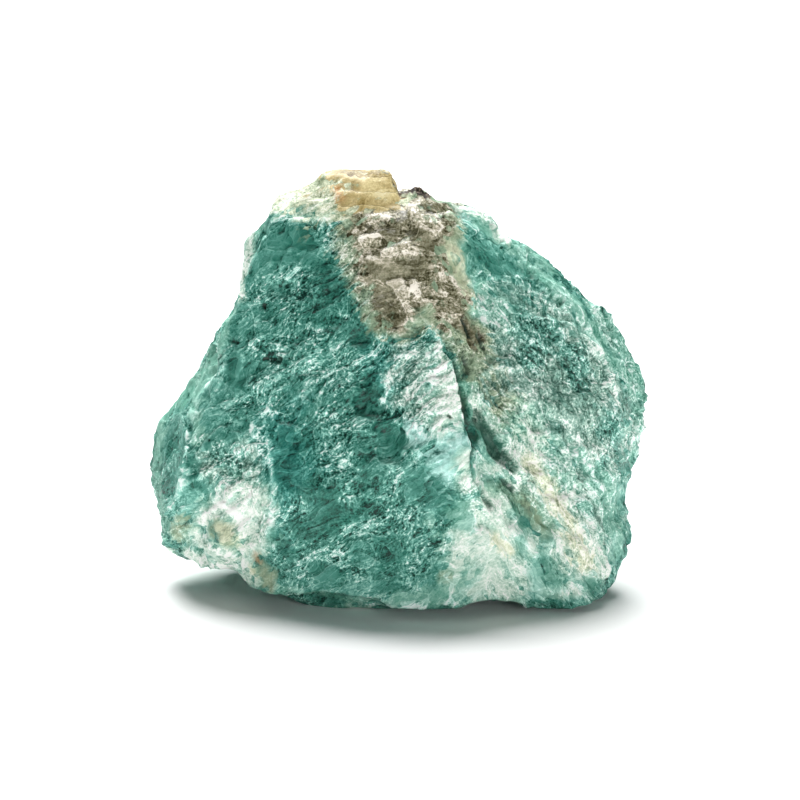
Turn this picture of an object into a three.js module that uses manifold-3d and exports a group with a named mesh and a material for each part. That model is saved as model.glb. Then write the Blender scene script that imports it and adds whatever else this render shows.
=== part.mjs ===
// A hand-sized piece of rough amazonite, broken from pegmatite on every side: blue-green feldspar with a
// seam of smoky quartz over its top, a cap of cream albite, and one flat spot underneath that it rests on.
// Millimetres, +Z up, +X to the right of the front face, -Y towards the viewer of the front face.
// The origin is on the flat spot, under the middle of the stone.

import * as THREE from "three";
import { ConvexGeometry } from "three/addons/geometries/ConvexGeometry.js";
import { ImprovedNoise } from "three/addons/math/ImprovedNoise.js";
import { mergeVertices } from "three/addons/utils/BufferGeometryUtils.js";
import Module from "manifold-3d";

const { clamp, lerp, smoothstep } = THREE.MathUtils;

// ---------------------------------------------------------------- driving dimensions

const HEART = new THREE.Vector3(-4, 2, 22); // a point inside the stone from which all of its surface is seen
const FARTHEST = 60; // longer than any line from the heart to the surface
const SKIN_DETAIL = 19; // the skin has 20 x (19 + 1)^2 = 8,000 triangles
const EVENING_ROUNDS = 16; // how often the skin's corners are spread evenly
const CREASE_DEG = 16; // broken faces that meet at more than this angle have a crisp edge
const SNAP_REACH = 0.62; // corners of the skin this near a crisp edge lie on it
const CLEFT = { depth: 0.5, rounds: 8 }; // no corner lies deeper than this between its neighbours

const SWELL = { size: 15, height: 0.6 }; // slow waves in the broken faces
// The grain of the two green masses: the way that their chips lie, and the way that cleavage steps climb.
const GRAINS = {
  main: { along: [0.77, 0, 0.64], across: [-0.62, 0.15, 0.77] },
  right: { along: [0.5, 0.1, -0.86], across: [0.85, 0.12, 0.5] },
};
const GRAIN_CHANGE = [4, 11]; // X over which the one grain gives way to the other
// Shell-shaped chips with ridges between them. Their borders wander, and level is the height left as it was.
const CHIPS = { length: 8.5, width: 4.2, depth: 5, height: 0.55, level: 0.3 };
const CHIP_WANDER = { size: 7, share: 0.35, seed: 4.1 };
// Steps that climb slowly and drop over a steep share of their pitch. They wander too, and some are weak.
const CLEAVAGE = { pitch: 6.2, height: 0.6, drop: 0.26 };
const CLEAVAGE_WANDER = { size: 10, share: 1.1, seed: 7.7 };
const CLEAVAGE_STRENGTH = { size: 8, middle: 0.75, change: 1.5, least: 0.1, most: 1.4, seed: 2.9 };
const RELIEF_START = 1.6; // relief and trimming die away between this height and the resting surface

// Dished hollows with a crisp rim: middle, radius and depth.
const HOLLOWS = [
  { at: [15, -13.5, 13.5], radius: 2.6, depth: 0.7 },
  { at: [17.5, -13, 11], radius: 3.4, depth: 1.1 },
  { at: [12, -14.5, 2], radius: 3.6, depth: 1 },
  { at: [-1.5, -15, 21.5], radius: 3.6, depth: 0.9 },
  { at: [-3.5, -13.5, 25.5], radius: 3.4, depth: 0.7 },
  { at: [-13, -6.5, 36], radius: 4.2, depth: 0.7 },
  { at: [-12.5, -11, 27.5], radius: 4.6, depth: 0.7 },
  { at: [1, -8, 37], radius: 2.6, depth: 0.6 },
  { at: [-27.5, -1.5, 18.5], radius: 2.6, depth: 0.7 },
  { at: [-10, 20, 30], radius: 8, depth: 1.5 },
  { at: [8, 21, 16], radius: 7, depth: 1.3 },
  { at: [21, 16.5, 18], radius: 6, depth: 1.2 },
  { at: [-21, 13.5, 18], radius: 5.5, depth: 1.1 },
  { at: [6, 12, 44], radius: 4, depth: 0.9 },
];

// The corners of the masses that the stone is made of. Each mass is convex, and they have grown together.
const MASSES = {
  // the deep teal block, whose broken face leans back from the lower front edge to the top left shoulder
  main: [
    [-16, -2.5, 44], [-15, -3, 45], [-7, -4.5, 45.5], [-5.5, -7, 41], [-1.5, -11.5, 33], [3, -11, 34.5],
    [5, -12.5, 31.5], [6.5, -15, 27], [7.5, -16.5, 21.5], [8, -17, 18], [10, -16.5, 13.5], [9.5, -15, 3],
    [5, -15, 1.5], [-4, -15, 1.5], [-11.5, -13.5, 2], [-15, -12, 2.5], [-15, -13, 11.5], [-14.5, -12.5, 17.5],
    [-16, -11, 20.5], [-19.5, -2, 35], [-20, -5, 28.5], [-23, -6, 25], [-17.5, -2.5, 39.5], [-6.5, -16.5, 17],
    [0.5, -17, 12.5], [-11, -7.5, -1], [5, -8.5, -1], [-13, 9, -1], [6, 14, -1], [-19, 12, 34],
    [-14, 18, 28], [-16, 17, 12], [-7, 21, 21], [-8, 17.5, 39], [-4, 12, 46], [-12, 8, 46], [1, 19.5, 6],
  ],
  // the flake that stands proud along the crack
  plate: [
    [3, -12, 35], [5.5, -13.5, 32.5], [7, -16, 27], [8, -17.5, 21.5], [8.5, -18, 18.5], [10, -17.5, 14],
    [5.5, -17, 15.5], [1, -17, 20], [1, -16, 22.5], [1.5, -15, 24.5], [2.5, -13, 30.5], [2, -6, 22],
    [3, -4, 34],
  ],
  // the ground between the two green masses, under the crack
  seam: [
    [7.5, -9.5, 33.5], [10.5, -11, 28.5], [8, -12.5, 26.5], [9, -14, 21.5], [9.5, -15, 17], [11, -16, 13.5],
    [12, -15.5, 7.5], [9.5, -14.5, 2.5], [14, -13.5, 2], [15.5, -12.5, 1], [17, -13.5, 7], [16, -13.5, 14],
    [13.5, -13, 21], [10, 0, 30], [8, 0, 2], [16, -2, 4],
  ],
  // the rounder, greener mass behind the seam, on the right
  right: [
    [7, 2, 47], [9.5, 1, 46], [13, 1, 43], [18, 2, 40], [22, 3, 36.5], [25.5, 4, 33], [29, 4, 28],
    [30.5, 3, 23.5], [30.5, 3, 20], [29, 1, 14.5], [28, -1, 11.5], [7.5, -5, 44], [8, -8, 36.5],
    [11.5, -9, 32], [14, -11, 25.5], [18.5, -10.5, 24], [24, -5, 29], [26, -4, 24], [26, -5, 18],
    [24, -7.5, 12.5], [19.5, -12, 6.5], [18, -8, -1], [21, -3, -1], [17, 9, -1], [4, 12, -1],
    [10, 10, 44.5], [15, 13, 38], [8, 20, 28], [20, 17, 26], [26.5, 12, 20], [23, 13.5, 8], [12, 19.5, 10],
    [28.5, 9, 26],
  ],
  // the lower lump behind the right corner, below a notch
  heel: [
    [28, -1.5, 10.5], [28.5, -2, 8.5], [28.5, -3, 6], [27.5, -4, 4], [25, -7, 0.5], [22, -9, 0],
    [17.5, -12, 0.5], [23.5, -8, 11], [21, -11.5, 8.5], [23.5, 12, 5], [16, 8, -1], [21, -3, -1],
    [18, -8, -1], [25, 9, 8.5], [14, 0, 8],
  ],
  // a raised sheet over the front of the right mass, with its broken edge on the right
  sheet: [
    [12, -8, 36.5], [17.5, -7, 35], [22.5, -4.5, 32.5], [24.5, -5, 30], [25.5, -5, 28], [25.5, -5.5, 24],
    [25.5, -6, 20.5], [23.5, -8, 16.5], [21, -10.5, 13.5], [17.5, -12, 17], [14.5, -12, 23],
    [12.5, -11, 29], [12, 2, 34], [20, 2, 20],
  ],
  // the white lump at the lower right corner
  toe: [
    [19, -12, 13.5], [23, -9.5, 12], [25.5, -8, 7], [25.5, -8.5, 3.5], [24, -9.5, 1.5], [21, -11.5, 1.5],
    [17.5, -13, 2], [16.5, -14, 6.5], [18, -13.5, 10.5], [16, -2, 4], [14, -4, 10],
  ],
  // the pale flank that turns away on the left
  flank: [
    [-21.5, 3, 31.5], [-24.5, 4, 26], [-27, 4, 23], [-29, 3, 20.5], [-30, 3, 18], [-30.5, 3, 14],
    [-29.5, 2, 7.5], [-29, 2, 4.5], [-27, 0, 3], [-25.5, -2, 3], [-23.5, -4.5, 24], [-25, -5.5, 19],
    [-25.5, -6, 14], [-26.5, -5.5, 11.5], [-27.5, -4.5, 8.5], [-12, 10, 30], [-24, 13, 20], [-26, 11, 9],
    [-12, 12, 1], [-10, -4, 24],
  ],
  // the raised face in front of the flank
  brow: [
    [-22.5, -6.5, 25], [-24, -7, 21.5], [-25, -7.5, 19.5], [-25, -8, 17.5], [-25.5, -8, 15], [-26, -7, 12.5],
    [-28, -5.5, 10.5], [-28, -3, 5.5], [-26, -3, 4], [-24, -5, 3.5], [-20, -7.5, 3.5], [-18.5, -10.5, 8.5],
    [-17.5, -11, 16], [-16.5, -10.5, 20], [-20.5, -10, 11.5], [-14, 2, 22], [-16, 2, 5],
  ],
  // the cream lump at the foot of the brow
  knob: [
    [-23, -8.5, 9.5], [-21.5, -10, 11], [-19, -11, 10.5], [-19, -11, 8], [-19.5, -8.5, 4], [-22, -7, 3.5],
    [-23.5, -8, 6.5], [-21, -11.5, 8.5], [-17, -3, 8],
  ],
  // the white corner between the knob and the main block
  foot: [
    [-19, -8.5, 3.5], [-17.5, -10, 2.5], [-15.5, -11.5, 2.5], [-11.5, -13, 2], [-15.5, -11.5, 17],
    [-17.5, -10.5, 17], [-18, -11, 11], [-18, -11, 6], [-15, -12, 6], [-14, 0, 6], [-12, 0, 20],
    [-14, 4, 1.5],
  ],
  // the broken back between the two green masses
  back: [
    [-5, 19, 38], [-3, 21, 25], [0, 20.5, 10], [2, 15, -1], [9, 20.5, 25], [8, 19, 10], [10, 11, 43.5],
    [-3, 11, 45.5], [9, 17, 36], [-6, 16.5, 4], [11, 12, -1], [0, 0, 20], [6, 6, 46],
  ],
  // the cream block of albite that caps the top
  cap: [
    [-5.5, -3.5, 47], [0, -2.5, 47.5], [0, -2, 49], [-0.5, -0.5, 50.5], [-1, 1.5, 51], [-7.5, 1.5, 51],
    [-8.5, 1.5, 50.5], [-10, 0.5, 49], [-9, -2.5, 48], [-2, 8, 49.5], [-7, 9, 49.5], [-10, 6, 48],
    [-9, 2, 38], [-1, 2, 38],
  ],
  // the shoulder, and the pale edge down its left side
  shoulder: [
    [-11.5, 1, 48.5], [-13, 1.5, 48], [-14, 1.5, 47.5], [-15, 1, 46], [-16.5, 0.5, 44], [-18, 1.5, 43],
    [-18.5, 1.5, 41], [-19, 1.5, 37], [-19.5, 0.5, 35.5], [-6.5, -3.5, 47], [-14.5, -2, 46.5],
    [-9.5, 1, 49], [-17, 8, 40], [-10, 7, 46], [-6, 2, 47.5], [-4, 0, 30],
  ],
  // the nub of dark mica, and the crest behind the quartz
  crest: [
    [0, 1, 48.5], [1.5, 1, 49], [2.5, 1, 49], [3.5, 0.5, 48.5], [4, 0.5, 47.5], [0.5, -2, 47.5],
    [3, -2.5, 47.5], [6, 1.5, 47], [7, 0.5, 46.5], [0, 6, 46.5], [5, 7, 46.5], [-1, 0, 36], [8, 0, 36],
  ],
  // the smoky quartz between the two green masses
  quartz: [
    [-7, -4, 45.5], [-5.5, -3.5, 46.5], [0, -3, 47], [5, -3, 47], [7.5, -4, 45.5], [8, -7, 40],
    [8.5, -10, 34], [10, -11, 29.5], [7.5, -13, 27], [6, -12, 31.5], [3, -11, 35], [-3, -10, 34.5],
    [-5.5, -7, 41], [0.5, -8, 41], [0, 4, 30], [12, -1, 42], [13, -4, 33],
  ],
};

// The outline that the stone shows to an eye 269 mm away and 12 degrees up, as X and Z where the lines of
// sight cross the plane Y = 0.
const FRONT_EYE = new THREE.Vector3(0.3, -263.5, 79.1);
const OUTLINE_MIDDLE = new THREE.Vector2(0, 24);
const OUTLINE = [
  [-30.3, 14.6], [-29.7, 18.4], [-29.2, 19.9], [-28.5, 21.1], [-27.4, 22.1], [-24.1, 26.8], [-21.5, 31.9],
  [-20.1, 33.5], [-19.8, 34.7], [-19.3, 35.6], [-18.9, 37.1], [-18.3, 42.6], [-16.6, 44], [-14.9, 46.2],
  [-14, 48], [-10.6, 48.9], [-8.6, 50.8], [-7.4, 51.2], [-1.1, 50.9], [-0.6, 50.3], [-0.2, 48.8],
  [0.5, 48.7], [2.4, 48.9], [3.5, 48.6], [3.9, 47.7], [4.5, 47.5], [6, 47.5], [8.4, 46.3], [9.3, 46.2],
  [10.4, 45.3], [11.3, 45], [13, 42.9], [14.1, 42.7], [14.9, 42.3], [15.6, 41.6], [16.4, 41.3],
  [17, 40.7], [17.9, 40.4], [18.6, 39.6], [20.4, 38.4], [23.6, 34.7], [25.8, 33.3], [26.8, 30.8],
  [27.8, 29.8], [29.7, 26.1], [30.3, 22.4], [29, 14.9], [27.7, 10.5], [28.1, 10.2], [28.6, 8.6],
  [28.9, 6.7], [28.8, 4.8], [26.8, 0.1], [25.6, -1.7], [25, -2.2], [22.6, -3.2], [20.1, -3.6],
  [16.4, -3.4], [14.5, -2.5], [12.7, -2.2], [9.7, -2.2], [8.7, -3], [7.1, -3.4], [-0.3, -3.5],
  [-1.6, -3.1], [-3.9, -3.1], [-4.6, -2.9], [-12.1, -2.5], [-14.5, -1.4], [-16.4, -1.2], [-18.2, -0.5],
  [-19.1, 0.1], [-19.4, 1], [-20.4, 1.8], [-23.1, 1.8], [-27, 3.4], [-29, 4.8], [-29.1, 8],
];
const OUTLINE_RAYS = 240; // how many directions the outline is trimmed in
// Each pass moves a band that starts at this share of the way out, by the error averaged over this many rays
// to each side.
const OUTLINE_PASSES = [
  { rounds: 3, band: 0.5, average: 7 },
  { rounds: 2, band: 0.85, average: 3 },
  { rounds: 3, band: 0.95, average: 0 },
];

const LEAST_FACING = 0.12; // cosine between a triangle's facing and the line from the heart
const OPENING = { rounds: 12, share: 0.5 }; // triangles past that open by this share, this often

// ---------------------------------------------------------------- the masses, grown together

const wasm = await Module();
wasm.setup();

const vectorOf = (place) => new THREE.Vector3(...place);

// Only the places of a geometry's corners, with shared corners merged.
function cornersOnly(geometry) {
  const plain = geometry.clone();
  plain.deleteAttribute("normal");
  plain.deleteAttribute("uv");
  return mergeVertices(plain, 1e-4);
}

function massSolid(corners) {
  const merged = cornersOnly(new ConvexGeometry(corners.map(vectorOf)));
  return new wasm.Manifold(
    new wasm.Mesh({
      numProp: 3,
      vertProperties: merged.attributes.position.array,
      triVerts: new Uint32Array(merged.index.array),
    }),
  );
}

function geometryOf(solid) {
  const mesh = solid.getMesh();
  return new THREE.BufferGeometry()
    .setAttribute("position", new THREE.BufferAttribute(mesh.vertProperties, 3))
    .setIndex(new THREE.BufferAttribute(mesh.triVerts, 1));
}

const form = geometryOf(
  Object.values(MASSES)
    .map(massSolid)
    .reduce((all, mass) => all.add(mass)),
);

// ---------------------------------------------------------------- the skin, drawn tight over them

const formMesh = new THREE.Mesh(form, new THREE.MeshBasicMaterial({ side: THREE.DoubleSide }));
const heartRay = new THREE.Raycaster();
heartRay.far = FARTHEST;

// The surface point in a direction from the heart: the farthest hit, so that no inner wall is taken.
function surfaceAlong(direction) {
  heartRay.set(HEART, direction);
  return heartRay.intersectObject(formMesh).at(-1).point;
}

function neighboursOf(index, count) {
  const neighbours = Array.from({ length: count }, () => new Set());
  for (let i = 0; i < index.length; i += 3) {
    const corners = [index[i], index[i + 1], index[i + 2]];
    corners.forEach((a, k) => {
      const b = corners[(k + 1) % 3];
      neighbours[a].add(b);
      neighbours[b].add(a);
    });
  }
  return neighbours.map((set) => [...set]);
}

function middleOf(places) {
  return places.reduce((sum, p) => sum.add(p), new THREE.Vector3()).divideScalar(places.length);
}

const ball = cornersOnly(new THREE.IcosahedronGeometry(1, SKIN_DETAIL));
const triangles = Array.from(ball.index.array);
const neighbours = neighboursOf(triangles, ball.attributes.position.count);

function skinOverForm() {
  return neighbours.map((_, i) =>
    surfaceAlong(new THREE.Vector3().fromBufferAttribute(ball.attributes.position, i).normalize()),
  );
}

// Each corner moves to the middle of its neighbours and back onto the surface.
function evened(skin) {
  return skin.map((_, i) => {
    const middle = middleOf(neighbours[i].map((n) => skin[n]));
    return surfaceAlong(middle.sub(HEART).normalize());
  });
}

// ---------------------------------------------------------------- crisp edges where broken faces meet

const edgeEnds = new THREE.EdgesGeometry(form, CREASE_DEG).attributes.position;
const edges = Array.from({ length: edgeEnds.count / 2 }, (_, i) => {
  const start = new THREE.Vector3().fromBufferAttribute(edgeEnds, 2 * i);
  const end = new THREE.Vector3().fromBufferAttribute(edgeEnds, 2 * i + 1);
  return new THREE.Line3(start, end);
});

function onNearEdge(corner) {
  let best = corner;
  let nearest = SNAP_REACH;
  for (const edge of edges) {
    const place = edge.closestPointToPoint(corner, true, new THREE.Vector3());
    const distance = place.distanceTo(corner);
    if (distance < nearest) {
      nearest = distance;
      best = place;
    }
  }
  return best;
}

// Clefts between masses are filled until none is deeper than the skin's corners can follow.
function cleftsFilled(skin) {
  const reach = skin.map((p) => p.distanceTo(HEART));
  return skin.map((p, i) => {
    const around = neighbours[i].reduce((sum, n) => sum + reach[n], 0) / neighbours[i].length;
    const length = Math.max(reach[i], around - CLEFT.depth);
    return p.clone().sub(HEART).setLength(length).add(HEART);
  });
}

// ---------------------------------------------------------------- relief of the broken faces

const noise = new ImprovedNoise();

function wave(p, { size, seed = 0 }) {
  return noise.noise(p.x / size + seed, p.y / size + 2 * seed, p.z / size + 3 * seed);
}

// A repeatable number from 0 to 1 for one axis of a cell of the chip pattern, from a sine with large factors.
function cellNumber([x, y, z], axis) {
  const s = Math.sin(x * 127.1 + y * 311.7 + z * 74.7 + axis * 53.3) * 43758.5453;
  return s - Math.floor(s);
}

// Distance to the nearest scattered centre, in cells: 0 in the middle of a chip, about 0.8 at its ridge.
function chipDistance(place) {
  const home = place.map(Math.floor);
  let nearest = Infinity;
  for (let dx = -1; dx <= 1; dx++)
    for (let dy = -1; dy <= 1; dy++)
      for (let dz = -1; dz <= 1; dz++) {
        const cell = [home[0] + dx, home[1] + dy, home[2] + dz];
        const toCentre = cell.map((v, axis) => v + cellNumber(cell, axis) - place[axis]);
        nearest = Math.min(nearest, Math.hypot(...toCentre));
      }
  return nearest;
}

function chipRelief(p, along, across) {
  const third = new THREE.Vector3().crossVectors(along, across);
  const wander = CHIP_WANDER.share * wave(p, CHIP_WANDER);
  const place = [
    p.dot(along) / CHIPS.length + wander,
    p.dot(across) / CHIPS.width - wander,
    p.dot(third) / CHIPS.depth + wander,
  ];
  return CHIPS.height * (chipDistance(place) ** 2 - CHIPS.level);
}

function cleavageRelief(p, across) {
  const { middle, change, least, most } = CLEAVAGE_STRENGTH;
  const steps = p.dot(across) / CLEAVAGE.pitch + CLEAVAGE_WANDER.share * wave(p, CLEAVAGE_WANDER);
  const part = steps - Math.floor(steps);
  const rise = 1 - CLEAVAGE.drop;
  const height = part < rise ? part / rise : (1 - part) / CLEAVAGE.drop;
  const strength = clamp(middle + change * wave(p, CLEAVAGE_STRENGTH), least, most);
  return CLEAVAGE.height * strength * (height - 0.5);
}

function grainRelief(p, grain) {
  const along = vectorOf(grain.along).normalize();
  const across = vectorOf(grain.across).normalize();
  return chipRelief(p, along, across) + cleavageRelief(p, across);
}

function hollowRelief(p) {
  const depths = HOLLOWS.map(({ at, radius, depth }) => {
    const share = p.distanceTo(vectorOf(at)) / radius;
    return depth * Math.max(0, 1 - share * share);
  });
  return -Math.max(...depths);
}

function startOfRelief(p) {
  return smoothstep(p.z, 0, RELIEF_START);
}

function reliefHeight(p) {
  const toRight = smoothstep(p.x, ...GRAIN_CHANGE);
  const grain = lerp(grainRelief(p, GRAINS.main), grainRelief(p, GRAINS.right), toRight);
  return startOfRelief(p) * (SWELL.height * wave(p, SWELL) + grain + hollowRelief(p));
}

function aboveRest(p) {
  return p.setZ(Math.max(0, p.z));
}

// Relief runs along the line from the heart, so that the skin can't fold over itself.
function withRelief(corner) {
  const out = corner.clone().sub(HEART).normalize();
  return aboveRest(corner.clone().addScaledVector(out, reliefHeight(corner)));
}

// ---------------------------------------------------------------- trim to the outline

// Where the line of sight to a place crosses the plane Y = 0, from the middle of the outline.
function seenAt(place) {
  const t = FRONT_EYE.y / (FRONT_EYE.y - place.y);
  return new THREE.Vector2(
    lerp(FRONT_EYE.x, place.x, t) - OUTLINE_MIDDLE.x,
    lerp(FRONT_EYE.z, place.z, t) - OUTLINE_MIDDLE.y,
  );
}

function rayNumber(seen) {
  return ((seen.angle() / (2 * Math.PI)) * OUTLINE_RAYS) % OUTLINE_RAYS;
}

// The farthest distance from the middle, along each ray, at which one of the lines crosses it.
function farthestAlongRays(lines) {
  const farthest = new Array(OUTLINE_RAYS).fill(0);
  for (const [a, b] of lines) {
    const from = rayNumber(a);
    let turn = rayNumber(b) - from;
    if (turn > OUTLINE_RAYS / 2) turn -= OUTLINE_RAYS;
    if (turn < -OUTLINE_RAYS / 2) turn += OUTLINE_RAYS;
    const [low, high] = turn > 0 ? [from, from + turn] : [from + turn, from];
    for (let k = Math.ceil(low); k <= high; k++) {
      const angle = (k / OUTLINE_RAYS) * 2 * Math.PI;
      const direction = new THREE.Vector2(Math.cos(angle), Math.sin(angle));
      const slant = direction.cross(b.clone().sub(a));
      const distance = Math.abs(slant) < 1e-9 ? Math.max(a.length(), b.length()) : a.cross(b) / slant;
      const slot = (k + OUTLINE_RAYS) % OUTLINE_RAYS;
      farthest[slot] = Math.max(farthest[slot], distance);
    }
  }
  return farthest;
}

// Each value of a ring averaged with its neighbours.
function averagedRing(values, reach) {
  return values.map((_, i) => {
    let sum = 0;
    for (let k = i - reach; k <= i + reach; k++) sum += values[(k + values.length) % values.length];
    return sum / (2 * reach + 1);
  });
}

function onRing(values, k) {
  const low = Math.floor(k);
  return lerp(values[low], values[(low + 1) % values.length], k - low);
}

const outline = OUTLINE.map(([x, z]) => new THREE.Vector2(x, z).sub(OUTLINE_MIDDLE));
const wanted = farthestAlongRays(outline.map((a, i) => [a, outline[(i + 1) % outline.length]]));

function trimmed(skin, { band, average }) {
  const seen = skin.map(seenAt);
  const lines = seen.flatMap((a, i) => neighbours[i].map((n) => [a, seen[n]]));
  const shown = farthestAlongRays(lines);
  const errors = wanted.map((distance, i) => distance / shown[i] - 1);
  const averaged = averagedRing(errors, average);
  return skin.map((p, i) => {
    const k = rayNumber(seen[i]);
    const share = smoothstep(seen[i].length() / onRing(shown, k), band, 1) * startOfRelief(p);
    const fartherThanPlane = 1 - p.y / FRONT_EYE.y;
    const move = seen[i].clone().multiplyScalar(onRing(averaged, k) * share * fartherThanPlane);
    return aboveRest(new THREE.Vector3(p.x + move.x, p.y, p.z + move.y));
  });
}

// ---------------------------------------------------------------- no triangle edge-on to the heart

function turnedCorners(skin) {
  const turned = new Set();
  const triangle = new THREE.Triangle();
  for (let i = 0; i < triangles.length; i += 3) {
    const corners = triangles.slice(i, i + 3);
    triangle.set(...corners.map((c) => skin[c]));
    const facing = triangle.getNormal(new THREE.Vector3());
    const out = triangle.getMidpoint(new THREE.Vector3()).sub(HEART).normalize();
    if (facing.dot(out) < LEAST_FACING) corners.forEach((c) => turned.add(c));
  }
  return turned;
}

// The corners of triangles that have turned too far move towards the middle of their neighbours.
function opened(skin) {
  const turned = turnedCorners(skin);
  return skin.map((p, i) => {
    if (!turned.has(i) || p.z === 0) return p;
    return p.clone().lerp(middleOf(neighbours[i].map((n) => skin[n])), OPENING.share);
  });
}

// ---------------------------------------------------------------- the part

function repeated(rounds, step, start) {
  let skin = start;
  for (let round = 0; round < rounds; round++) skin = step(skin);
  return skin;
}

let skin = repeated(EVENING_ROUNDS, evened, skinOverForm());
skin = repeated(CLEFT.rounds, cleftsFilled, skin.map(onNearEdge));
skin = skin.map(withRelief);
for (const pass of OUTLINE_PASSES) skin = repeated(pass.rounds, (now) => trimmed(now, pass), skin);
skin = repeated(OPENING.rounds, opened, skin);

const stone = new THREE.BufferGeometry()
  .setAttribute("position", new THREE.Float32BufferAttribute(skin.flatMap((p) => p.toArray()), 3))
  .setIndex(triangles);
stone.computeVertexNormals();

const amazonite = new THREE.Mesh(
  stone,
  new THREE.MeshStandardMaterial({ color: 0x5c9484, roughness: 0.5, metalness: 0, flatShading: true }),
);
amazonite.name = "amazonite";

const part = new THREE.Group();
part.add(amazonite);

export default part;
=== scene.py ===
"""A hand-sized piece of rough amazonite on a pale floor.

The stone is one skin, drawn over the frame's solid. Strokes laid on its sides say where each mineral grew,
and where light and shade are painted.
Geometry Nodes break its surface into chips, steps and flakes, and one material paints the minerals, with
painted light and shade on edges, steps, rims and cracks.
Lengths are millimetres in this script and metres in the scene.
"""

from __future__ import annotations

import logging
import math
from collections.abc import Mapping, Sequence
from dataclasses import dataclass, field
from enum import Enum
from itertools import pairwise
from typing import Any

import bmesh
import bpy
import numpy as np
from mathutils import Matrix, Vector
from mathutils.bvhtree import BVHTree

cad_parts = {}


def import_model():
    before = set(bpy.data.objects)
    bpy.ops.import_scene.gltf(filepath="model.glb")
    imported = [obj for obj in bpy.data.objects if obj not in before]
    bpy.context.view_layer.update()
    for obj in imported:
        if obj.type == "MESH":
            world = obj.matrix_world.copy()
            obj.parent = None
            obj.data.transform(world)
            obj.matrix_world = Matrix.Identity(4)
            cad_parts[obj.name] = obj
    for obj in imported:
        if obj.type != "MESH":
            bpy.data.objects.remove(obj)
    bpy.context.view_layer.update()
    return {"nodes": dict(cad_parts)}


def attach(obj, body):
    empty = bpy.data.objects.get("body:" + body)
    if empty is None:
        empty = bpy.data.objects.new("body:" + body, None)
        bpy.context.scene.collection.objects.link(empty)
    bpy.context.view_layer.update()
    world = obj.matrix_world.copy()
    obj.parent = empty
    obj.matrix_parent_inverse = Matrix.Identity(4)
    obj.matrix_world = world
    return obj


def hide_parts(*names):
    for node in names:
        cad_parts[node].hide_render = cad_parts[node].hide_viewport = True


LOG = logging.getLogger("amazonite")
MM = 0.001  # metres in a millimetre

Place = tuple[float, float, float]
Points = list[Place]


# ------------------------------------------------------------------ what grew where


class Growth(Enum):
    """A mineral, a tint, a broken form, or painted light or shade, that strokes place on the stone. The value
    names its attribute.
    """

    DEEP = "deep"  # clear dark feldspar; strokes over the pits also paint shade in them
    BLUE = "blue"  # the bluest feldspar
    MINT = "mint"  # pale, thin-edged feldspar; on rims and thin edges its paint stands for light shining through: painted light
    # lighter turquoise on faces that turn to the light: painted light
    LIT_TURQUOISE = "lit_turquoise"
    SAGE = "sage"
    HAZE_AND_PAINTED_LIGHT = "haze_and_painted_light"  # milky feldspar, and painted light: lighter rims and a lighter right body
    GRAIN = "grain"  # crumbly mixture of green, grey and white grains
    VEIL = "veil"  # white lace of albite threads
    ALBITE = "albite"  # solid white
    CREAM = "cream"
    HONEY = "honey"
    RUST = "rust"
    SMOKY = "smoky"  # smoky quartz
    FLAKE = "flake"  # pale flake that stands proud
    MICA = "mica"
    THREAD = "lit_edge"  # bright line on a broken edge, raised a little: painted highlight where the edge catches the light
    # a crack cut into the surface, its groove painted dark as shade; the smallest strokes are dark specks
    SHADED_CRACK = "shaded_crack"
    PIT = "pit"


class Side(Enum):
    """The side that a stroke is laid on."""

    FRONT = "front"
    BACK = "back"
    LEFT = "left"
    RIGHT = "right"
    TOP = "top"
    UNDER = "under"


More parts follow.
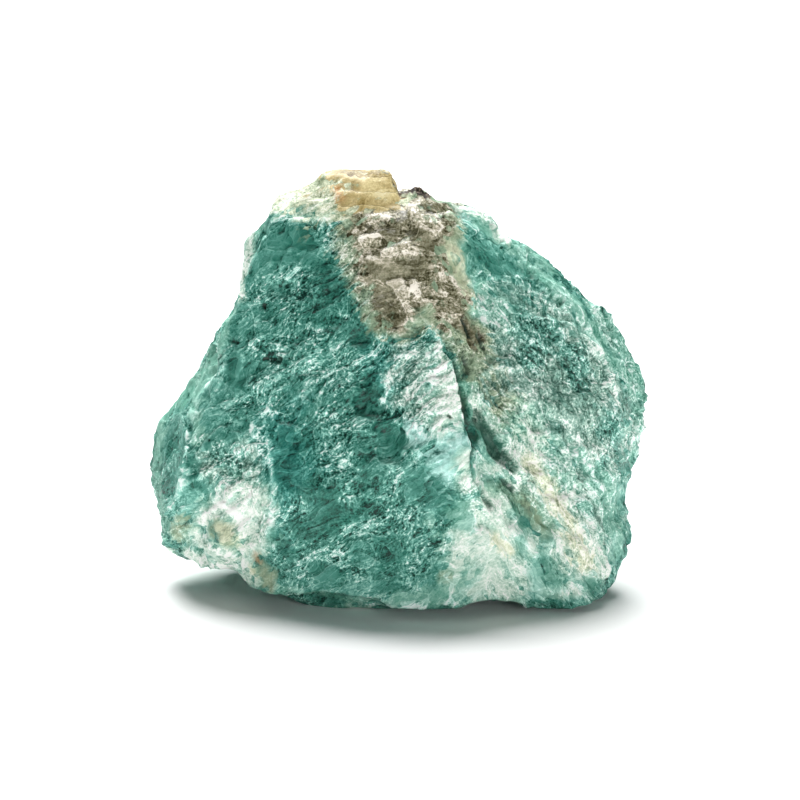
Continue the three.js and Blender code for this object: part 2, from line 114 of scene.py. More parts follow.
# Each stroke is a chain of points (across, up, radius), as seen when facing that side. On FRONT, across is X
# and up is Z where the line of sight from the camera crosses the plane Y = 0. On BACK they are X and Z, on
# LEFT and RIGHT Y and Z, on TOP and UNDER X and Y.
STROKES: dict[Growth, dict[Side, list[Points]]] = {
    Growth.SMOKY: {
        Side.FRONT: [
            [(-4, 45.4, 1), (-1, 45.8, 1.4), (4, 45.8, 1.4)],
            [(-4.2, 43.6, 1.4), (0, 43.8, 2), (3.8, 44, 1.7)],
            [(-4, 41.4, 1.5), (0, 41.4, 2), (3.6, 41.6, 1.7)],
            [(-2.6, 39.2, 1.5), (1, 39, 2), (3.8, 39, 1.8)],
            [(-1.8, 37, 1.5), (1, 36.8, 2), (3.2, 37.2, 1.5)],
            [(-1.4, 34.6, 1.3), (1, 35.2, 1.8), (2.6, 35.8, 1.2)],
            [(-1, 33, 1.1), (0, 32.4, 0.9)],
            [(4.8, 38.2, 1.1), (6.6, 36, 1), (7.2, 33.6, 0.9)],
            [(8.2, 32.4, 0.7), (9.6, 30.6, 0.8)],
            [(2, 47, 0.8), (5, 46.8, 1)],
            [(-4.6, 46.4, 0.7), (-1, 46.8, 0.6)],
            [(5, 36.8, 1.3), (6.4, 34, 1.2)],
        ],
        Side.TOP: [
            [(-1, 1, 2.4), (2, 5, 3.2), (3, 9, 3.4)],
        ],
        Side.BACK: [
            [(2, 44, 3), (4.4, 40, 2.6), (5.4, 36, 1.4)],
            [(-1.6, 41, 2), (-2.6, 36.4, 1.6)],
            [(1.6, 38, 3), (0.4, 32.6, 2)],
            [(3.2, 29, 1.4), (5, 26, 0.9)],
        ],
    },
    Growth.FLAKE: {
        Side.FRONT: [
            [(-1.4, 40.9, 0.5), (-0.2, 41.2, 0.75), (1, 41.5, 0.7), (2, 41.2, 0.5), (2.8, 41, 0.15)],
            [(-1.1, 37.4, 0.2), (0.2, 37.2, 0.6), (0.9, 36.2, 0.7), (1, 35.2, 0.5), (1, 34.5, 0.15)],
            [(1.8, 37.4, 0.3), (2.4, 36, 0.45)],
            [(1.4, 34.2, 0.5), (2, 33.2, 0.6)],
            [(1.2, 46.4, 0.3), (1.9, 46.2, 0.6), (2, 45.4, 0.4), (1.8, 44.4, 0.15)],
            [(3.2, 44.6, 0.9), (4.4, 44.1, 0.8)],
            [(-4, 44.6, 0.4), (-2.8, 45.2, 0.6), (-1, 45, 0.4)],
            [(-4.4, 42.6, 0.3), (-2.4, 42.6, 0.5)],
        ],
    },
    Growth.HONEY: {
        Side.FRONT: [
            [(-5.2, 50, 1.4), (-1.8, 49.9, 1.8)],
            [(-5, 48.2, 1.4), (-0.9, 48.4, 1.4)],
            [(-6.2, 46.9, 0.8), (-2.6, 46.9, 0.9), (0, 47.4, 0.6)],
        ],
        Side.TOP: [
            [(-5, 2, 3.4), (-4, 6, 3), (-4.6, 8.4, 2)],
        ],
    },
    Growth.RUST: {
        Side.FRONT: [
            [(-7.2, 48.8, 0.25), (-7, 47.9, 0.4)],
            [(-17.4, 3.4, 0.35), (-17.3, 2.6, 0.35)],
        ],
        Side.BACK: [
            [(9, 5.6, 0.5)],
        ],
    },
    Growth.MICA: {
        Side.FRONT: [
            [(0.7, 48.3, 0.7), (2, 48.6, 1), (3.2, 48.2, 0.7)],
            [(-0.7, 50, 0.2), (-0.4, 49.5, 0.3)],
        ],
        Side.TOP: [
            [(2, 3, 1), (3.4, 5, 0.8)],
        ],
    },
    Growth.CREAM: {
        Side.FRONT: [
            [(-14.8, 47.6, 1), (-12, 48.4, 1.4), (-9, 48.2, 1.3), (-8, 47.2, 1)],
            [(5, 42.8, 0.6), (6.2, 41.4, 0.7), (7.2, 39.6, 0.7), (7.8, 37.8, 0.6), (8.4, 36, 0.5)],
            [(-17.9, 1.6, 0.5)],
            [(-14, 46.9, 0.9), (-10, 47.4, 1.3), (-7.8, 46.8, 0.8)],
            [(16, 15.4, 0.9), (18.4, 12, 0.6), (20.8, 8.4, 0.8), (22.4, 4.6, 1.1), (23.6, 2.4, 0.8)],
            [(12, 5.6, 0.5), (14, 4, 0.6)],
            [(-22, 7.2, 0.7), (-20.8, 5.8, 0.9)],
        ],
    },
    Growth.ALBITE: {
        Side.FRONT: [
            [(-14, 47.3, 1), (-11.4, 47.4, 1.4), (-8.6, 47.2, 1.2)],
            [(5.2, 29.4, 0.5), (5.7, 27.2, 1.1), (6.3, 24, 1.6), (6.4, 21.6, 1.3), (5.4, 20.2, 0.9)],
            [(9.4, 8.4, 1.4), (10.6, 5.4, 2.4), (12, 3.4, 2.6), (12, 0.6, 2.2), (13.6, -0.8, 1.5)],
            [(8.2, 6, 1.1), (8.6, 3.2, 1.4)],
            [(10.2, 11.6, 0.7), (11.4, 9.6, 1.4), (13.4, 7, 1.7)],
            [(14.4, 16.6, 1.8), (16.2, 15.4, 2.1), (15.8, 18.6, 1.6)],
            [(17.6, 14.4, 1.2), (19.6, 11.2, 1.4), (20.8, 9, 1.3), (21.6, 6.8, 1.8)],
            [(21.6, 6.8, 1.8), (22, 4.4, 2.2), (23.2, 2.4, 1.6)],
            [(24.8, 2.6, 1.2), (26, 1, 0.9)],
            [(16.4, 4.8, 0.8)],
            [(-20.6, 11.2, 0.8), (-18.6, 11.6, 1.2), (-17, 10.6, 1.1), (-17, 8.4, 1.4)],
            [(-24, 8.2, 0.7), (-22.4, 9.6, 0.9), (-20.2, 9.4, 1)],
            [(-17.6, 6.4, 1.6), (-18.4, 4.4, 0.8)],
            [(-24, 2.9, 0.8), (-20.6, 2.6, 0.9)],
            [(-17.6, 43.2, 0.6), (-18, 40.6, 0.8), (-18.4, 38, 0.8), (-18.8, 36, 0.5)],
            [(7, 46.8, 0.7), (9, 46, 0.9), (11, 45, 0.9), (13, 43.6, 0.7)],
            [(-11, 48.4, 0.8), (-9, 48, 0.8)],
            [(9, 24.4, 0.4), (10, 20.6, 0.6), (11.4, 19.2, 0.7)],
            [(8.2, 15.6, 0.7), (8.4, 12.4, 0.8), (11.6, 14.4, 1)],
            [(13.4, 5.4, 1), (14.6, 3.8, 1.1)],
            [(20.6, 4.4, 0.8), (23, 5.6, 1)],
            [(-24.4, 5.6, 1), (-22.6, 4, 0.8), (-18.6, 2.4, 0.9), (-18.6, 0.4, 0.9)],
            [(18.4, -1.2, 0.5), (22.4, -1, 0.5)],
            [(-25.6, 3.6, 0.7), (-22, 1.9, 0.8), (-19.2, 0.8, 0.8)],
            [(-19, 6.8, 0.9), (-18.4, 9.2, 1.3)],
            [(22.4, 6, 1.4), (24.2, 3.4, 1.4), (25.4, 1.4, 0.9)],
            [(12.6, 6, 1.6), (15.4, 0.4, 1.2)],
        ],
        Side.BACK: [
            [(14, 31, 0.8), (16.4, 25, 1.1), (13.4, 19, 0.8), (17, 12, 0.9)],
            [(-14, 12, 1.1), (-18, 8, 1), (-11.4, 6, 0.8)],
            [(-6, 40, 0.8), (-10, 34, 0.9), (-15, 30, 0.6)],
            [(22, 14, 0.8), (19, 9, 0.9)],
        ],
        Side.LEFT: [
            [(10, 9, 2), (7, 6, 2.4), (1, 5, 1.6)],
            [(5, 36, 1), (8, 30, 1.6), (10, 25, 1)],
        ],
        Side.RIGHT: [
            [(2, 5, 2), (6, 4, 1.6)],
            [(10, 26, 1.2), (12, 20, 1.8), (9, 14, 1.2)],
        ],
        Side.TOP: [
            [(-12, 3, 1.6), (-10, 7, 2), (-7, 11, 2)],
            [(8, 6, 1.4), (13, 5, 1)],
        ],
        Side.UNDER: [
            [(-4, -6, 2.4), (2, 0, 2), (8, 4, 2.6)],
            [(-16, 0, 2), (-12, 6, 2)],
        ],
    },
    Growth.MINT: {
        Side.FRONT: [
            [(-14.2, 45.8, 0.7), (-8, 45.7, 0.7)],
            [(-21.4, 30.6, 1), (-22.2, 27.4, 1.6), (-24.4, 25.4, 1.5), (-27, 22.6, 1.2)],
            [(-24.4, 23.6, 1.2), (-24.6, 21, 0.8), (-24.2, 18.4, 0.7)],
            [(-29.4, 17, 1), (-29.2, 12, 1), (-28.6, 7.6, 1.2)],
            [(9.8, 36.6, 1.4), (10.6, 34.4, 1.6), (12.4, 34, 1.4)],
            [(9.4, 44.6, 0.8), (11.6, 43.4, 1), (14.6, 41, 1)],
            [(16, 39.6, 1.2), (18.6, 37, 1.2), (21.6, 34.6, 1.4)],
            [(23.2, 31.6, 1.6), (25.2, 28.4, 1.6), (27.6, 27, 1.4), (29, 23, 1)],
            [(24, 13.6, 1), (25.8, 11, 1.8), (26.4, 7.4, 1.8), (27.4, 4, 1)],
            [(22, 16.4, 0.8), (23.6, 13.6, 0.7)],
            [(-14, -1.2, 0.7), (-6, -2.2, 0.6), (0, -2.4, 0.8), (5, -2.2, 1.2), (8, -1, 1.4)],
            [(8.8, 1.2, 0.9), (10, -0.6, 0.8)],
            [(14.8, 1.4, 1), (16.6, 2.8, 0.9)],
            [(-16.8, 44.6, 0.6), (-17.9, 42, 0.7), (-18.8, 38.4, 0.6)],
            [(-20.2, 33, 0.8), (-22, 30, 0.9), (-24.6, 26.4, 0.9), (-26.8, 23.6, 0.9)],
            [(-28.6, 20, 0.8), (-29.6, 15.6, 0.7), (-29.4, 11, 0.8), (-28.8, 6, 0.7)],
            [(7.8, 41.4, 1), (8.2, 39.2, 1.2), (9.4, 33.6, 0.8)],
            [(8, 24.6, 0.6), (9.2, 22, 0.8), (10.4, 19.2, 1), (11.6, 14.6, 1.2)],
            [(26, 32, 0.6), (28.6, 27.4, 0.6), (30, 22.6, 0.6), (29, 15, 0.6)],
            [(22.6, 35, 0.8), (26.4, 31.4, 1), (29.2, 26.4, 1), (30.2, 22, 0.8)],
            [(14, 42.4, 0.8), (18.6, 39.4, 0.9)],
        ],
        Side.BACK: [
            [(24, 30, 1.2), (27, 24, 1.4), (26, 16, 1.2)],
            [(-24, 26, 1.2), (-27, 18, 1.6), (-26, 10, 1.2)],
        ],
    },
    Growth.LIT_TURQUOISE: {
        Side.FRONT: [
            [(5.6, 19, 1.2), (7, 17.6, 1.9), (6.2, 15.2, 1.8), (7.2, 13.2, 1.3)],
            [(1.6, 19.4, 0.8), (2.6, 18.6, 0.8)],
            [(16.8, 1.8, 0.9), (15.6, -1, 1)],
        ],
    },
    Growth.SAGE: {
        Side.FRONT: [
            [(12.6, 21.6, 1.7), (12.2, 19.8, 1.1)],
            [(12.4, 11.4, 1.3), (15, 11, 1.6), (17, 9, 1.4), (18.6, 7, 1.2)],
            [(18.8, 13, 0.9)],
            [(-27, 6.4, 1), (-25.6, 7.2, 0.8)],
            [(6.6, 0.8, 1)],
            [(7, 35, 2), (8.4, 31.6, 2.2), (9.2, 28, 1.9), (8.8, 25.2, 1.2), (8.2, 22.6, 0.6)],
            [(-10.8, 49.4, 1), (-8.8, 50.4, 1.4), (-7, 49.8, 1.3)],
            [(5, 45.6, 1), (6.4, 44, 0.8)],
            [(-8, 48.8, 0.8), (-10.6, 49, 0.7)],
            [(3.4, 36, 1), (4.6, 33.4, 1)],
            [(5.6, 44, 1.3), (6.8, 40.5, 1.2), (7.4, 37.5, 1)],
            [(-22.4, 7.4, 1.5), (-20.8, 6, 1.8), (-20.4, 4.6, 1.2)],
            [(-17.6, 1.6, 1), (-16, 0.4, 1)],
        ],
        Side.BACK: [
            [(4, 12, 2), (7, 9, 1.6)],
        ],
    },
    Growth.HAZE_AND_PAINTED_LIGHT: {
        # Besides milky feldspar, these strokes paint light: lighter rims and a lighter right body.
        Side.FRONT: [
            [(-26, 20, 4), (-27, 12, 4), (-24, 8, 4)],
            [(-22, 24, 3), (-24, 16, 4), (-20, 10, 3)],
            [(-20, 32, 2), (-22, 27, 3)],
            [(28, 22, 4), (28, 14, 4), (26, 6, 4)],
            [(22, 12, 4), (18, 6, 4), (12, 4, 4)],
            [(12, 34, 3), (20, 34, 4), (26, 28, 3)],
            [(10, 43, 2), (14, 39, 2.6), (18, 35, 2.4)],
            [(-10, -1, 1.6), (0, -2, 2), (8, 0, 2.4)],
            [(4, 20, 2.6), (3, 24, 2.6)],
            [(-12, 42, 2), (-16, 40, 2)],
            [(6, 42, 2), (8, 38, 2)],
            [(4, 14, 2.4), (8, 16, 2), (11, 15, 2)],
            [(-3.4, 48.7, 0.8), (-1, 48.7, 0.8)],
            [(24, 33, 1.6), (28, 28, 1.6), (30, 22, 1.4)],
            [(-20, 34, 1.2), (-23, 29, 1.3), (-26.4, 24, 1.3)],
            [(12, 43.6, 1.2), (18, 39, 1.4)],
            [(-12, 0, 1.4), (-4, -1.6, 1.8), (4, -1.8, 2), (10, 0, 2)],
            [(17, -1.6, 1.2), (24, -0.4, 1.4)],
            [(-28, 18, 2), (-24, 26, 1.6)],
            [(-22, 7, 1.6), (-18, 2, 1.6), (-16, 0.4, 1.4)],
        ],
    },
    Growth.DEEP: {
        # Where these strokes lie over the pits below, their darkness is painted shade; elsewhere they mark
        # dark feldspar.
        Side.FRONT: [
            [(-14.4, 43.2, 1.2), (-11, 42.4, 1.6)],
            [(-14.6, 40.3, 0.6), (-10.4, 40.2, 0.7)],
            [(-8.8, 39.4, 1.2), (-8.4, 37.2, 2.2), (-6.6, 36.8, 1.4)],
            [(-13.6, 36.7, 1)],
            [(-10.4, 33.8, 1.4), (-7.4, 32.8, 0.8)],
            [(-5.2, 31.2, 0.9), (-4.2, 30.2, 1.2)],
            [(-3.8, 25, 1), (-3.8, 22.8, 1.7)],
            [(-1.2, 19.2, 1.4), (-0.2, 17.6, 1.6)],
            [(-10.4, 11.6, 1.2), (-8, 11.6, 1)],
            [(-12, 7, 1.2), (-8.6, 7.6, 1.8)],
            [(-4, 9.8, 1.2)],
            [(3.4, 12.4, 1.6), (5.4, 10.6, 1.4), (8.2, 8, 1)],
            [(-14.8, 5.8, 1), (-13.6, 4, 0.9)],
            [(-1.2, 4.6, 1.6)],
            [(-20, 27.6, 1), (-19.4, 24.8, 0.8)],
            [(-21.4, 18, 1.3), (-22.8, 17.6, 0.8)],
            [(9.2, 42.2, 1), (10.4, 40.2, 1.5), (12, 39.4, 1)],
            [(14.8, 9.8, 1), (16.2, 8.6, 1.3), (18.2, 7, 1.2)],
            [(17.4, 1.8, 1.2), (18.6, -0.6, 1.3)],
            [(23.4, -0.4, 0.8), (24.8, -0.8, 0.8)],
            [(10.6, 19.6, 0.7), (12, 16.8, 1)],
            [(-3.6, 17, 1.2), (-3, 14, 1.6), (-3.4, 12, 1.2)],
            [(-8.4, 9.4, 1.8), (-6, 8.6, 1.2)],
            [(-10, 1.6, 1), (-8, 1.2, 1)],
            [(-22, 17, 1), (-20, 14.6, 1.1)],
            [(-1.6, 39, 1.2), (-0.8, 37.4, 1), (-1.4, 35.6, 0.8)],
            [(7.6, 9, 1), (8.4, 7.4, 0.8)],
            [(15, 33.4, 1.8), (17.4, 31, 2), (16.4, 29, 1.4)],
            [(15.4, 38.4, 1.4), (17, 37.4, 1.2)],
            [(21.4, 28.4, 1.4), (22, 25.8, 1.2)],
            [(26, 20, 1.4), (27, 18.4, 1.2)],
            [(-6, 35, 1.2), (-5, 34, 1)],
            [(18.6, 13.8, 1.2), (20, 12.6, 0.8)],
            [(24.6, 13.4, 0.9), (25, 15, 0.9)],
            [(12.2, 12.6, 0.9), (10.6, 13.4, 0.6)],
            [(8.6, 32.4, 0.9), (9.8, 30, 0.9)],
            [(8.2, 28, 0.7), (8.6, 25, 0.8)],
            [(22.6, 9.8, 0.5), (23.8, 9, 0.5)],
            [(15, 5.4, 0.7), (15.2, 3.8, 0.6)],
            [(1.4, 43.5, 0.3), (3, 42.9, 0.7), (3.9, 41.9, 0.7)],
            [(-3.6, 39.5, 0.5), (-1.6, 38.9, 0.9), (1, 39.2, 0.9), (2.8, 39.6, 0.6)],
            [(-2.2, 37.2, 0.8), (-1.8, 35.4, 0.9), (-1.2, 34, 0.9), (-0.6, 32.8, 0.8)],
            [(-1.4, 46.5, 0.4), (-0.4, 46.6, 0.4)],
            [(3.4, 46.6, 0.5), (4.8, 46.4, 0.5)],
            [(-1.4, 43.6, 0.4), (-0.4, 43.3, 0.4)],
            [(7.4, 31.8, 0.5), (8.6, 31, 0.5), (10, 30.6, 0.6)],
            [(-5.8, 50.6, 0.6), (-5.4, 48.6, 0.6)],
            [(-4.4, 47.4, 0.3), (-2.6, 47.3, 0.3)],
            [(-13.4, 18.4, 1.4), (-13.8, 14.6, 1.6), (-13, 12.4, 1)],
            [(-25.6, 15, 1), (-24.6, 12.4, 0.8)],
        ],
        Side.BACK: [
            [(-12, 28, 3), (-14, 21, 3)],
            [(20, 22, 2), (22, 27, 1.6)],
            [(6, 30, 2.4), (8, 24, 2.4)],
            [(20, 18, 1.6), (15, 8, 1.6)],
            [(-18, 16, 2), (-22, 12, 1.4)],
            [(-2, 20, 2), (0, 12, 2)],
            [(-8, 30, 1.6), (-12, 36, 1.2)],
        ],
        Side.LEFT: [
            [(6, 22, 3), (4, 14, 3)],
        ],
        Side.RIGHT: [
            [(6, 32, 2), (4, 24, 2.4)],
        ],
    },
    Growth.BLUE: {
        Side.FRONT: [
            [(-14, 19.8, 2), (-13, 15.4, 2.6), (-14, 11.4, 1.8)],
            [(-15, 8.4, 1), (-15.2, 5.4, 1)],
            [(-2.2, 28, 1.4), (-1, 25.6, 1.2)],
            [(8.6, 39.8, 0.8), (8.8, 36.8, 0.8)],
        ],
        Side.LEFT: [
            [(8, 18, 2.4), (9, 12, 2)],
        ],
        Side.BACK: [
            [(-6, 24, 3), (-8, 16, 2.6)],
        ],
    },
    Growth.GRAIN: {
        Side.FRONT: [
            [(12, 31, 4), (18, 30, 5), (24, 26, 5)],
            [(12, 25, 3.4), (18, 22, 5), (24, 18, 5)],
            [(14, 18, 3), (20, 13, 4), (24, 8, 4)],
            [(2.4, 27, 2), (3, 24, 2.2), (3.4, 21.6, 1.6)],
            [(-6.6, 42.6, 1.2), (-5.2, 40, 1.2), (-3.6, 37.4, 1.2), (-2, 34.6, 1)],
            [(-22, 15, 2), (-19.6, 14, 2)],
        ],
        Side.RIGHT: [
            [(4, 22, 5), (7, 30, 5), (6, 14, 4)],
        ],
        Side.BACK: [
            [(18, 34, 2.4), (21, 24, 3)],
        ],
    },
    Growth.VEIL: {
        Side.FRONT: [
            [(-13.4, 38.8, 0.9), (-11.2, 38.6, 1.3), (-10.4, 37.2, 0.9)],
            [(-14.8, 38, 0.5), (-16.6, 37.2, 0.6), (-16.8, 35.8, 0.6), (-14, 35.2, 0.5), (-11, 36.2, 0.5)],
            [(-15, 36, 0.8)],
            [(-15.6, 28.8, 0.9), (-14, 30.2, 0.9), (-12.8, 32, 0.6)],
            [(-11, 28.2, 0.6), (-9.6, 31.6, 0.7), (-7.4, 33.4, 0.6), (-5.4, 35, 0.8), (-4.4, 35.6, 0.7)],
            [(-10.4, 27, 1.4), (-7.6, 26.4, 1.4), (-6, 28.8, 1.4), (-3.6, 28.6, 0.9)],
            [(-8.6, 24.8, 0.8), (-5.4, 25.6, 1)],
            [(-2.4, 30, 0.8), (-1, 31.2, 0.7)],
            [(-18.2, 22.2, 0.7), (-17.2, 24.4, 0.8), (-16, 25.8, 0.6)],
            [(-8.4, 20.8, 1), (-6.6, 19.4, 1.8), (-8.8, 16.4, 1.4), (-6, 16, 1.2)],
            [(-13, 9.6, 0.5), (-10.6, 11.2, 0.7), (-8.6, 13.4, 0.8), (-6.6, 14.6, 0.7)],
            [(-6.2, 12, 0.8), (-5.6, 10, 0.7)],
            [(-8.2, 5.6, 0.5), (-5, 7, 0.6), (-1.6, 7.6, 0.8), (1.4, 8.2, 1)],
            [(-2.4, 11.4, 1), (-0.6, 13.6, 1.4), (0.6, 14.8, 0.8)],
            [(-9.8, 2.2, 0.8), (-7.2, 4, 0.9)],
            [(-12, 0.8, 0.8), (-9.4, 1.6, 0.7), (-5, 0.6, 0.8)],
            [(0.4, 5.4, 1.2), (1.6, 7.4, 1.2), (3.8, 9, 1)],
            [(1.2, 0.2, 0.6), (3.2, 2.8, 0.7), (5, 4.4, 0.7)],
            [(3.8, 28, 0.8), (2.6, 25.8, 1.8), (2.4, 23.2, 2), (3.8, 21.4, 1.5)],
            [(-1.4, 22, 0.7), (0.6, 21.6, 0.7)],
            [(-16.6, 19, 0.6), (-16, 16.4, 0.8), (-15.6, 14.6, 0.6)],
            [(9, 11, 1.2), (10.2, 9, 1)],
            [(-19.6, 10, 1.2), (-17, 13.6, 0.9)],
            [(-8.4, 44, 0.6), (-7.2, 41.6, 0.9), (-5.6, 39.8, 0.9), (-4.6, 37.6, 0.7)],
            [(3.4, 30.8, 0.5), (1.4, 29.2, 0.6)],
            [(7.6, 44.6, 0.8), (8.4, 43, 0.6)],
            [(9.2, 38, 0.6), (10.2, 38.8, 0.5), (11.8, 37.6, 0.7)],
            [(14.4, 38.4, 0.8), (16.8, 36, 1)],
            [(24.8, 17.6, 0.8), (26.4, 15, 0.7)],
            [(-14, 38.4, 1), (-12.8, 35.4, 1.1), (-13, 32.6, 1)],
            [(-17.4, 29.6, 0.9), (-15.6, 28.4, 0.9)],
            [(-2.8, 29.6, 0.9), (-1, 29.2, 0.9)],
            [(0.6, 27, 1.2), (2, 24, 1.4), (0.6, 22.4, 1)],
            [(1.6, 15.6, 1.1), (2.6, 13, 1.3), (5.6, 12, 1.2)],
            [(2, 3, 1), (3.6, 5, 0.9)],
            [(-9.6, 43.8, 0.8), (-10.4, 45, 0.6)],
            [(-18.4, 22.6, 0.9), (-13.6, 21.6, 0.9)],
            [(-12.6, 10, 0.8), (-14, 8.6, 0.6)],
            [(-3.4, -1.6, 0.6), (-1.2, -2, 0.6)],
        ],
        Side.BACK: [
            [(-20, 20, 1.6), (-10, 26, 1.4), (-2, 34, 1.6)],
            [(10, 36, 1.8), (18, 30, 1.4), (24, 20, 1.4)],
            [(-16, 34, 1.2), (-8, 30, 1.4)],
            [(-4, 8, 1.4), (4, 16, 1.6), (12, 20, 1.4)],
        ],
        Side.LEFT: [
            [(2, 12, 1), (5, 19, 1.2), (9, 24, 1)],
            [(8, 32, 1.4), (12, 26, 1)],
        ],
        Side.RIGHT: [
            [(0, 16, 1), (6, 20, 1.4), (12, 26, 1.2)],
        ],
        Side.UNDER: [
            [(-10, 0, 1.4), (0, -4, 1.4), (12, 2, 1.6)],
        ],
    },
    Growth.THREAD: {
        Side.FRONT: [
            [(-14, 45, 0.2), (-10, 45.1, 0.25), (-7.8, 45, 0.2)],
            [(-20.3, 29.4, 0.2), (-21, 27, 0.3), (-22.9, 24.8, 0.35)],
            [(-25.5, 19.4, 0.25), (-25.9, 16, 0.35), (-25.8, 14, 0.4), (-26.8, 12, 0.4), (-27.8, 9.6, 0.4)],
            [(-26.6, 12.4, 0.3), (-24.2, 13.4, 0.25)],
            [(-0.4, 30.8, 0.25), (1.2, 32.3, 0.3), (3, 32.8, 0.3), (4.3, 31.8, 0.3), (5, 30.2, 0.35)],
            [(5, 30.2, 0.3), (4.9, 28, 0.35), (4.4, 25.4, 0.4)],
            [(0.9, 19.6, 0.3), (1.2, 18, 0.3), (0.8, 16.4, 0.25)],
            [(0.9, 19.6, 0.3), (2.2, 19.9, 0.2), (3.2, 18.6, 0.2)],
            [(10.9, 26.6, 0.3), (12.6, 26.9, 0.25), (14.6, 27, 0.2)],
            [(22.6, 29.4, 0.3), (24.1, 28.8, 0.4), (25.3, 26.4, 0.35), (26.3, 24.4, 0.3), (26.6, 21.6, 0.25)],
            [(-15.7, 18, 0.25), (-15.2, 12, 0.3), (-15.6, 8, 0.25)],
            [(-18.9, 8, 0.2), (-19, 4, 0.25), (-19.1, 1.4, 0.2)],
            [(-24.4, 3.1, 0.3), (-22, 2.2, 0.3), (-19.6, 1.6, 0.3)],
            [(-3.4, -2.7, 0.3), (-0.6, -2.9, 0.35), (3, -3.1, 0.3)],
            [(10, 35.4, 0.3), (10.4, 33.2, 0.35), (11.2, 31.6, 0.3)],
            [(9.9, 19.9, 0.2), (10.4, 18, 0.3), (12.4, 15.6, 0.25), (14.6, 13, 0.2)],
            [(22.6, 15.4, 0.2), (25.4, 11.6, 0.25)],
            [(20.2, 20.8, 0.2), (22.6, 17.2, 0.2)],
            [(-2.2, 22.8, 0.2), (-1, 24.4, 0.2)],
            [(0, 28.4, 0.15), (2.4, 28.6, 0.2), (4.6, 28.4, 0.15)],
            [(-17.8, 20, 0.2), (-16.6, 16.8, 0.25), (-15.4, 15.2, 0.25)],
            [(-5, 43.9, 0.2), (-4.6, 43, 0.26), (-2.4, 43, 0.2)],
            [(-3.4, 40.5, 0.2), (-2, 40, 0.26), (-0.6, 39.9, 0.22)],
            [(1.8, 36.8, 0.2), (2.4, 35.6, 0.24)],
            [(5, 38.4, 0.2), (6.2, 38.5, 0.2), (7.2, 37, 0.2), (7.6, 36, 0.2)],
            [(-23.8, 8.6, 0.2), (-23.8, 6, 0.3), (-22.4, 4, 0.3), (-20, 3.6, 0.25)],
            [(-23.6, 8.8, 0.25), (-21.4, 10, 0.3), (-19.4, 8.4, 0.25), (-19.2, 5.4, 0.25)],
        ],
    },
    Growth.SHADED_CRACK: {
        Side.FRONT: [
            [(7.6, 24.4, 0.25), (7.9, 22, 0.4), (8.3, 20, 0.45), (9.2, 18.4, 0.5)],
            [(9.2, 18.4, 0.45), (9, 15.6, 0.5), (9.5, 13.4, 0.45), (10.5, 11, 0.35), (11.4, 9.7, 0.25)],
            [(9.4, 20.4, 0.4), (10.6, 19, 0.4), (11.4, 17.2, 0.5), (12.4, 16, 0.45), (13.6, 14.8, 0.3)],
            # a painted shadow line beside the edge of the left face
            [(-16, 28.1, 0.15), (-14.2, 28.1, 0.25)],
            [(-16.2, 34.8, 0.2), (-16, 34.4, 0.12)],
            [(-20, 30.3, 0.16), (-19.4, 30.2, 0.16)],
            [(-22.9, 18.1, 0.14)],
            [(-27.4, 18, 0.16)],
            [(6, 21.2, 0.14), (6.4, 20.9, 0.12)],
            [(19.4, 34.9, 0.16)],
            [(27.8, 10.4, 0.3)],
            [(-17.9, 2.4, 0.15)],
            [(4.6, 30.4, 0.1), (6.2, 28.6, 0.2), (7.2, 25.6, 0.25)],
            [(12.4, 13.6, 0.15), (14.2, 11.8, 0.2)],
            [(9.8, 21.4, 0.3), (11.2, 18.8, 0.45), (12.8, 16.2, 0.4), (14, 14.4, 0.3)],
            [(7.8, 33, 0.12), (8.6, 31, 0.2)],
            [(9.6, 31.2, 0.15), (10.4, 29.6, 0.2)],
            [(8, 28.2, 0.2), (8.6, 26.4, 0.15)],
        ],
        Side.BACK: [
            [(-3, 40, 0.2), (-2.4, 36, 0.3), (-3.8, 31, 0.2)],
            [(12, 28, 0.3), (17, 20, 0.3), (19, 14, 0.2)],
        ],
    },
    Growth.PIT: {
        Side.FRONT: [
            [(-3.8, 25, 0.7), (-3.8, 22.8, 1.3)],
            [(-1, 19, 1), (-0.2, 17.4, 1.2)],
            [(15.2, 9.6, 0.7), (15.2, 7.8, 0.7)],
            [(17.4, 8.4, 0.5), (18.6, 6.8, 0.7)],
            [(-14.8, 36.6, 0.8), (-13, 36.6, 0.7)],
            [(23.4, -0.4, 0.7), (24.8, -0.8, 0.7)],
            [(10.6, 19.6, 0.5), (12, 16.8, 0.8)],
            [(-4.6, 30.8, 0.9)],
            [(12, 25.6, 0.9), (13.6, 25.9, 0.7)],
        ],
    },
}


# ------------------------------------------------------------------ patterns that fill the stone


SEED_STEP: Place = (7.31, 3.17, 5.53)  # how far one pattern is moved from the one before, in millimetres


@dataclass(frozen=True)
class Pattern:
    """Lumps or flat faces."""

    size: float | Place  # of the largest ones, in millimetres, or their three sizes
    seed: int  # which of many such patterns
    detail: float = 2.0  # how many finer octaves are on lumps
    rough: float = 0.6  # how strong each octave is, as a share of the one before

    def spot(self, place: Wire) -> Wire:
        """The place in units of the pattern's size, moved along by its seed."""
        sizes = self.size if isinstance(self.size, tuple) else (self.size,) * 3
        return (place + tuple(step * self.seed for step in SEED_STEP)) * tuple(1 / each for each in sizes)


@dataclass(frozen=True)
class Drift:
    """How a straight pattern wanders."""

    size: float  # of the bends, in millimetres
    reach: float  # about twice as far as a place moves, in millimetres
    seed: int

    @property
    def bends(self) -> Pattern:
        """The lumps that move a place."""
        return Pattern(self.size, self.seed, detail=1.0, rough=0.5)


# The three sizes of a feldspar pattern lie along, across and through its grain, and those of a quartz pattern
# along X, Y and Z.
TEXTURE = Pattern(3.2, 2, detail=4.0)
PATCHES = Pattern(6.0, 9, detail=1.0)
GRIT = Pattern(0.55, 18, rough=0.8)
SPECKS = Pattern(0.28, 13, detail=1.0, rough=0.9)
MICA_CRUMBS = Pattern(1.1, 16, rough=0.7)
LINES_SHOWN = Pattern(2.4, 17, rough=0.7)

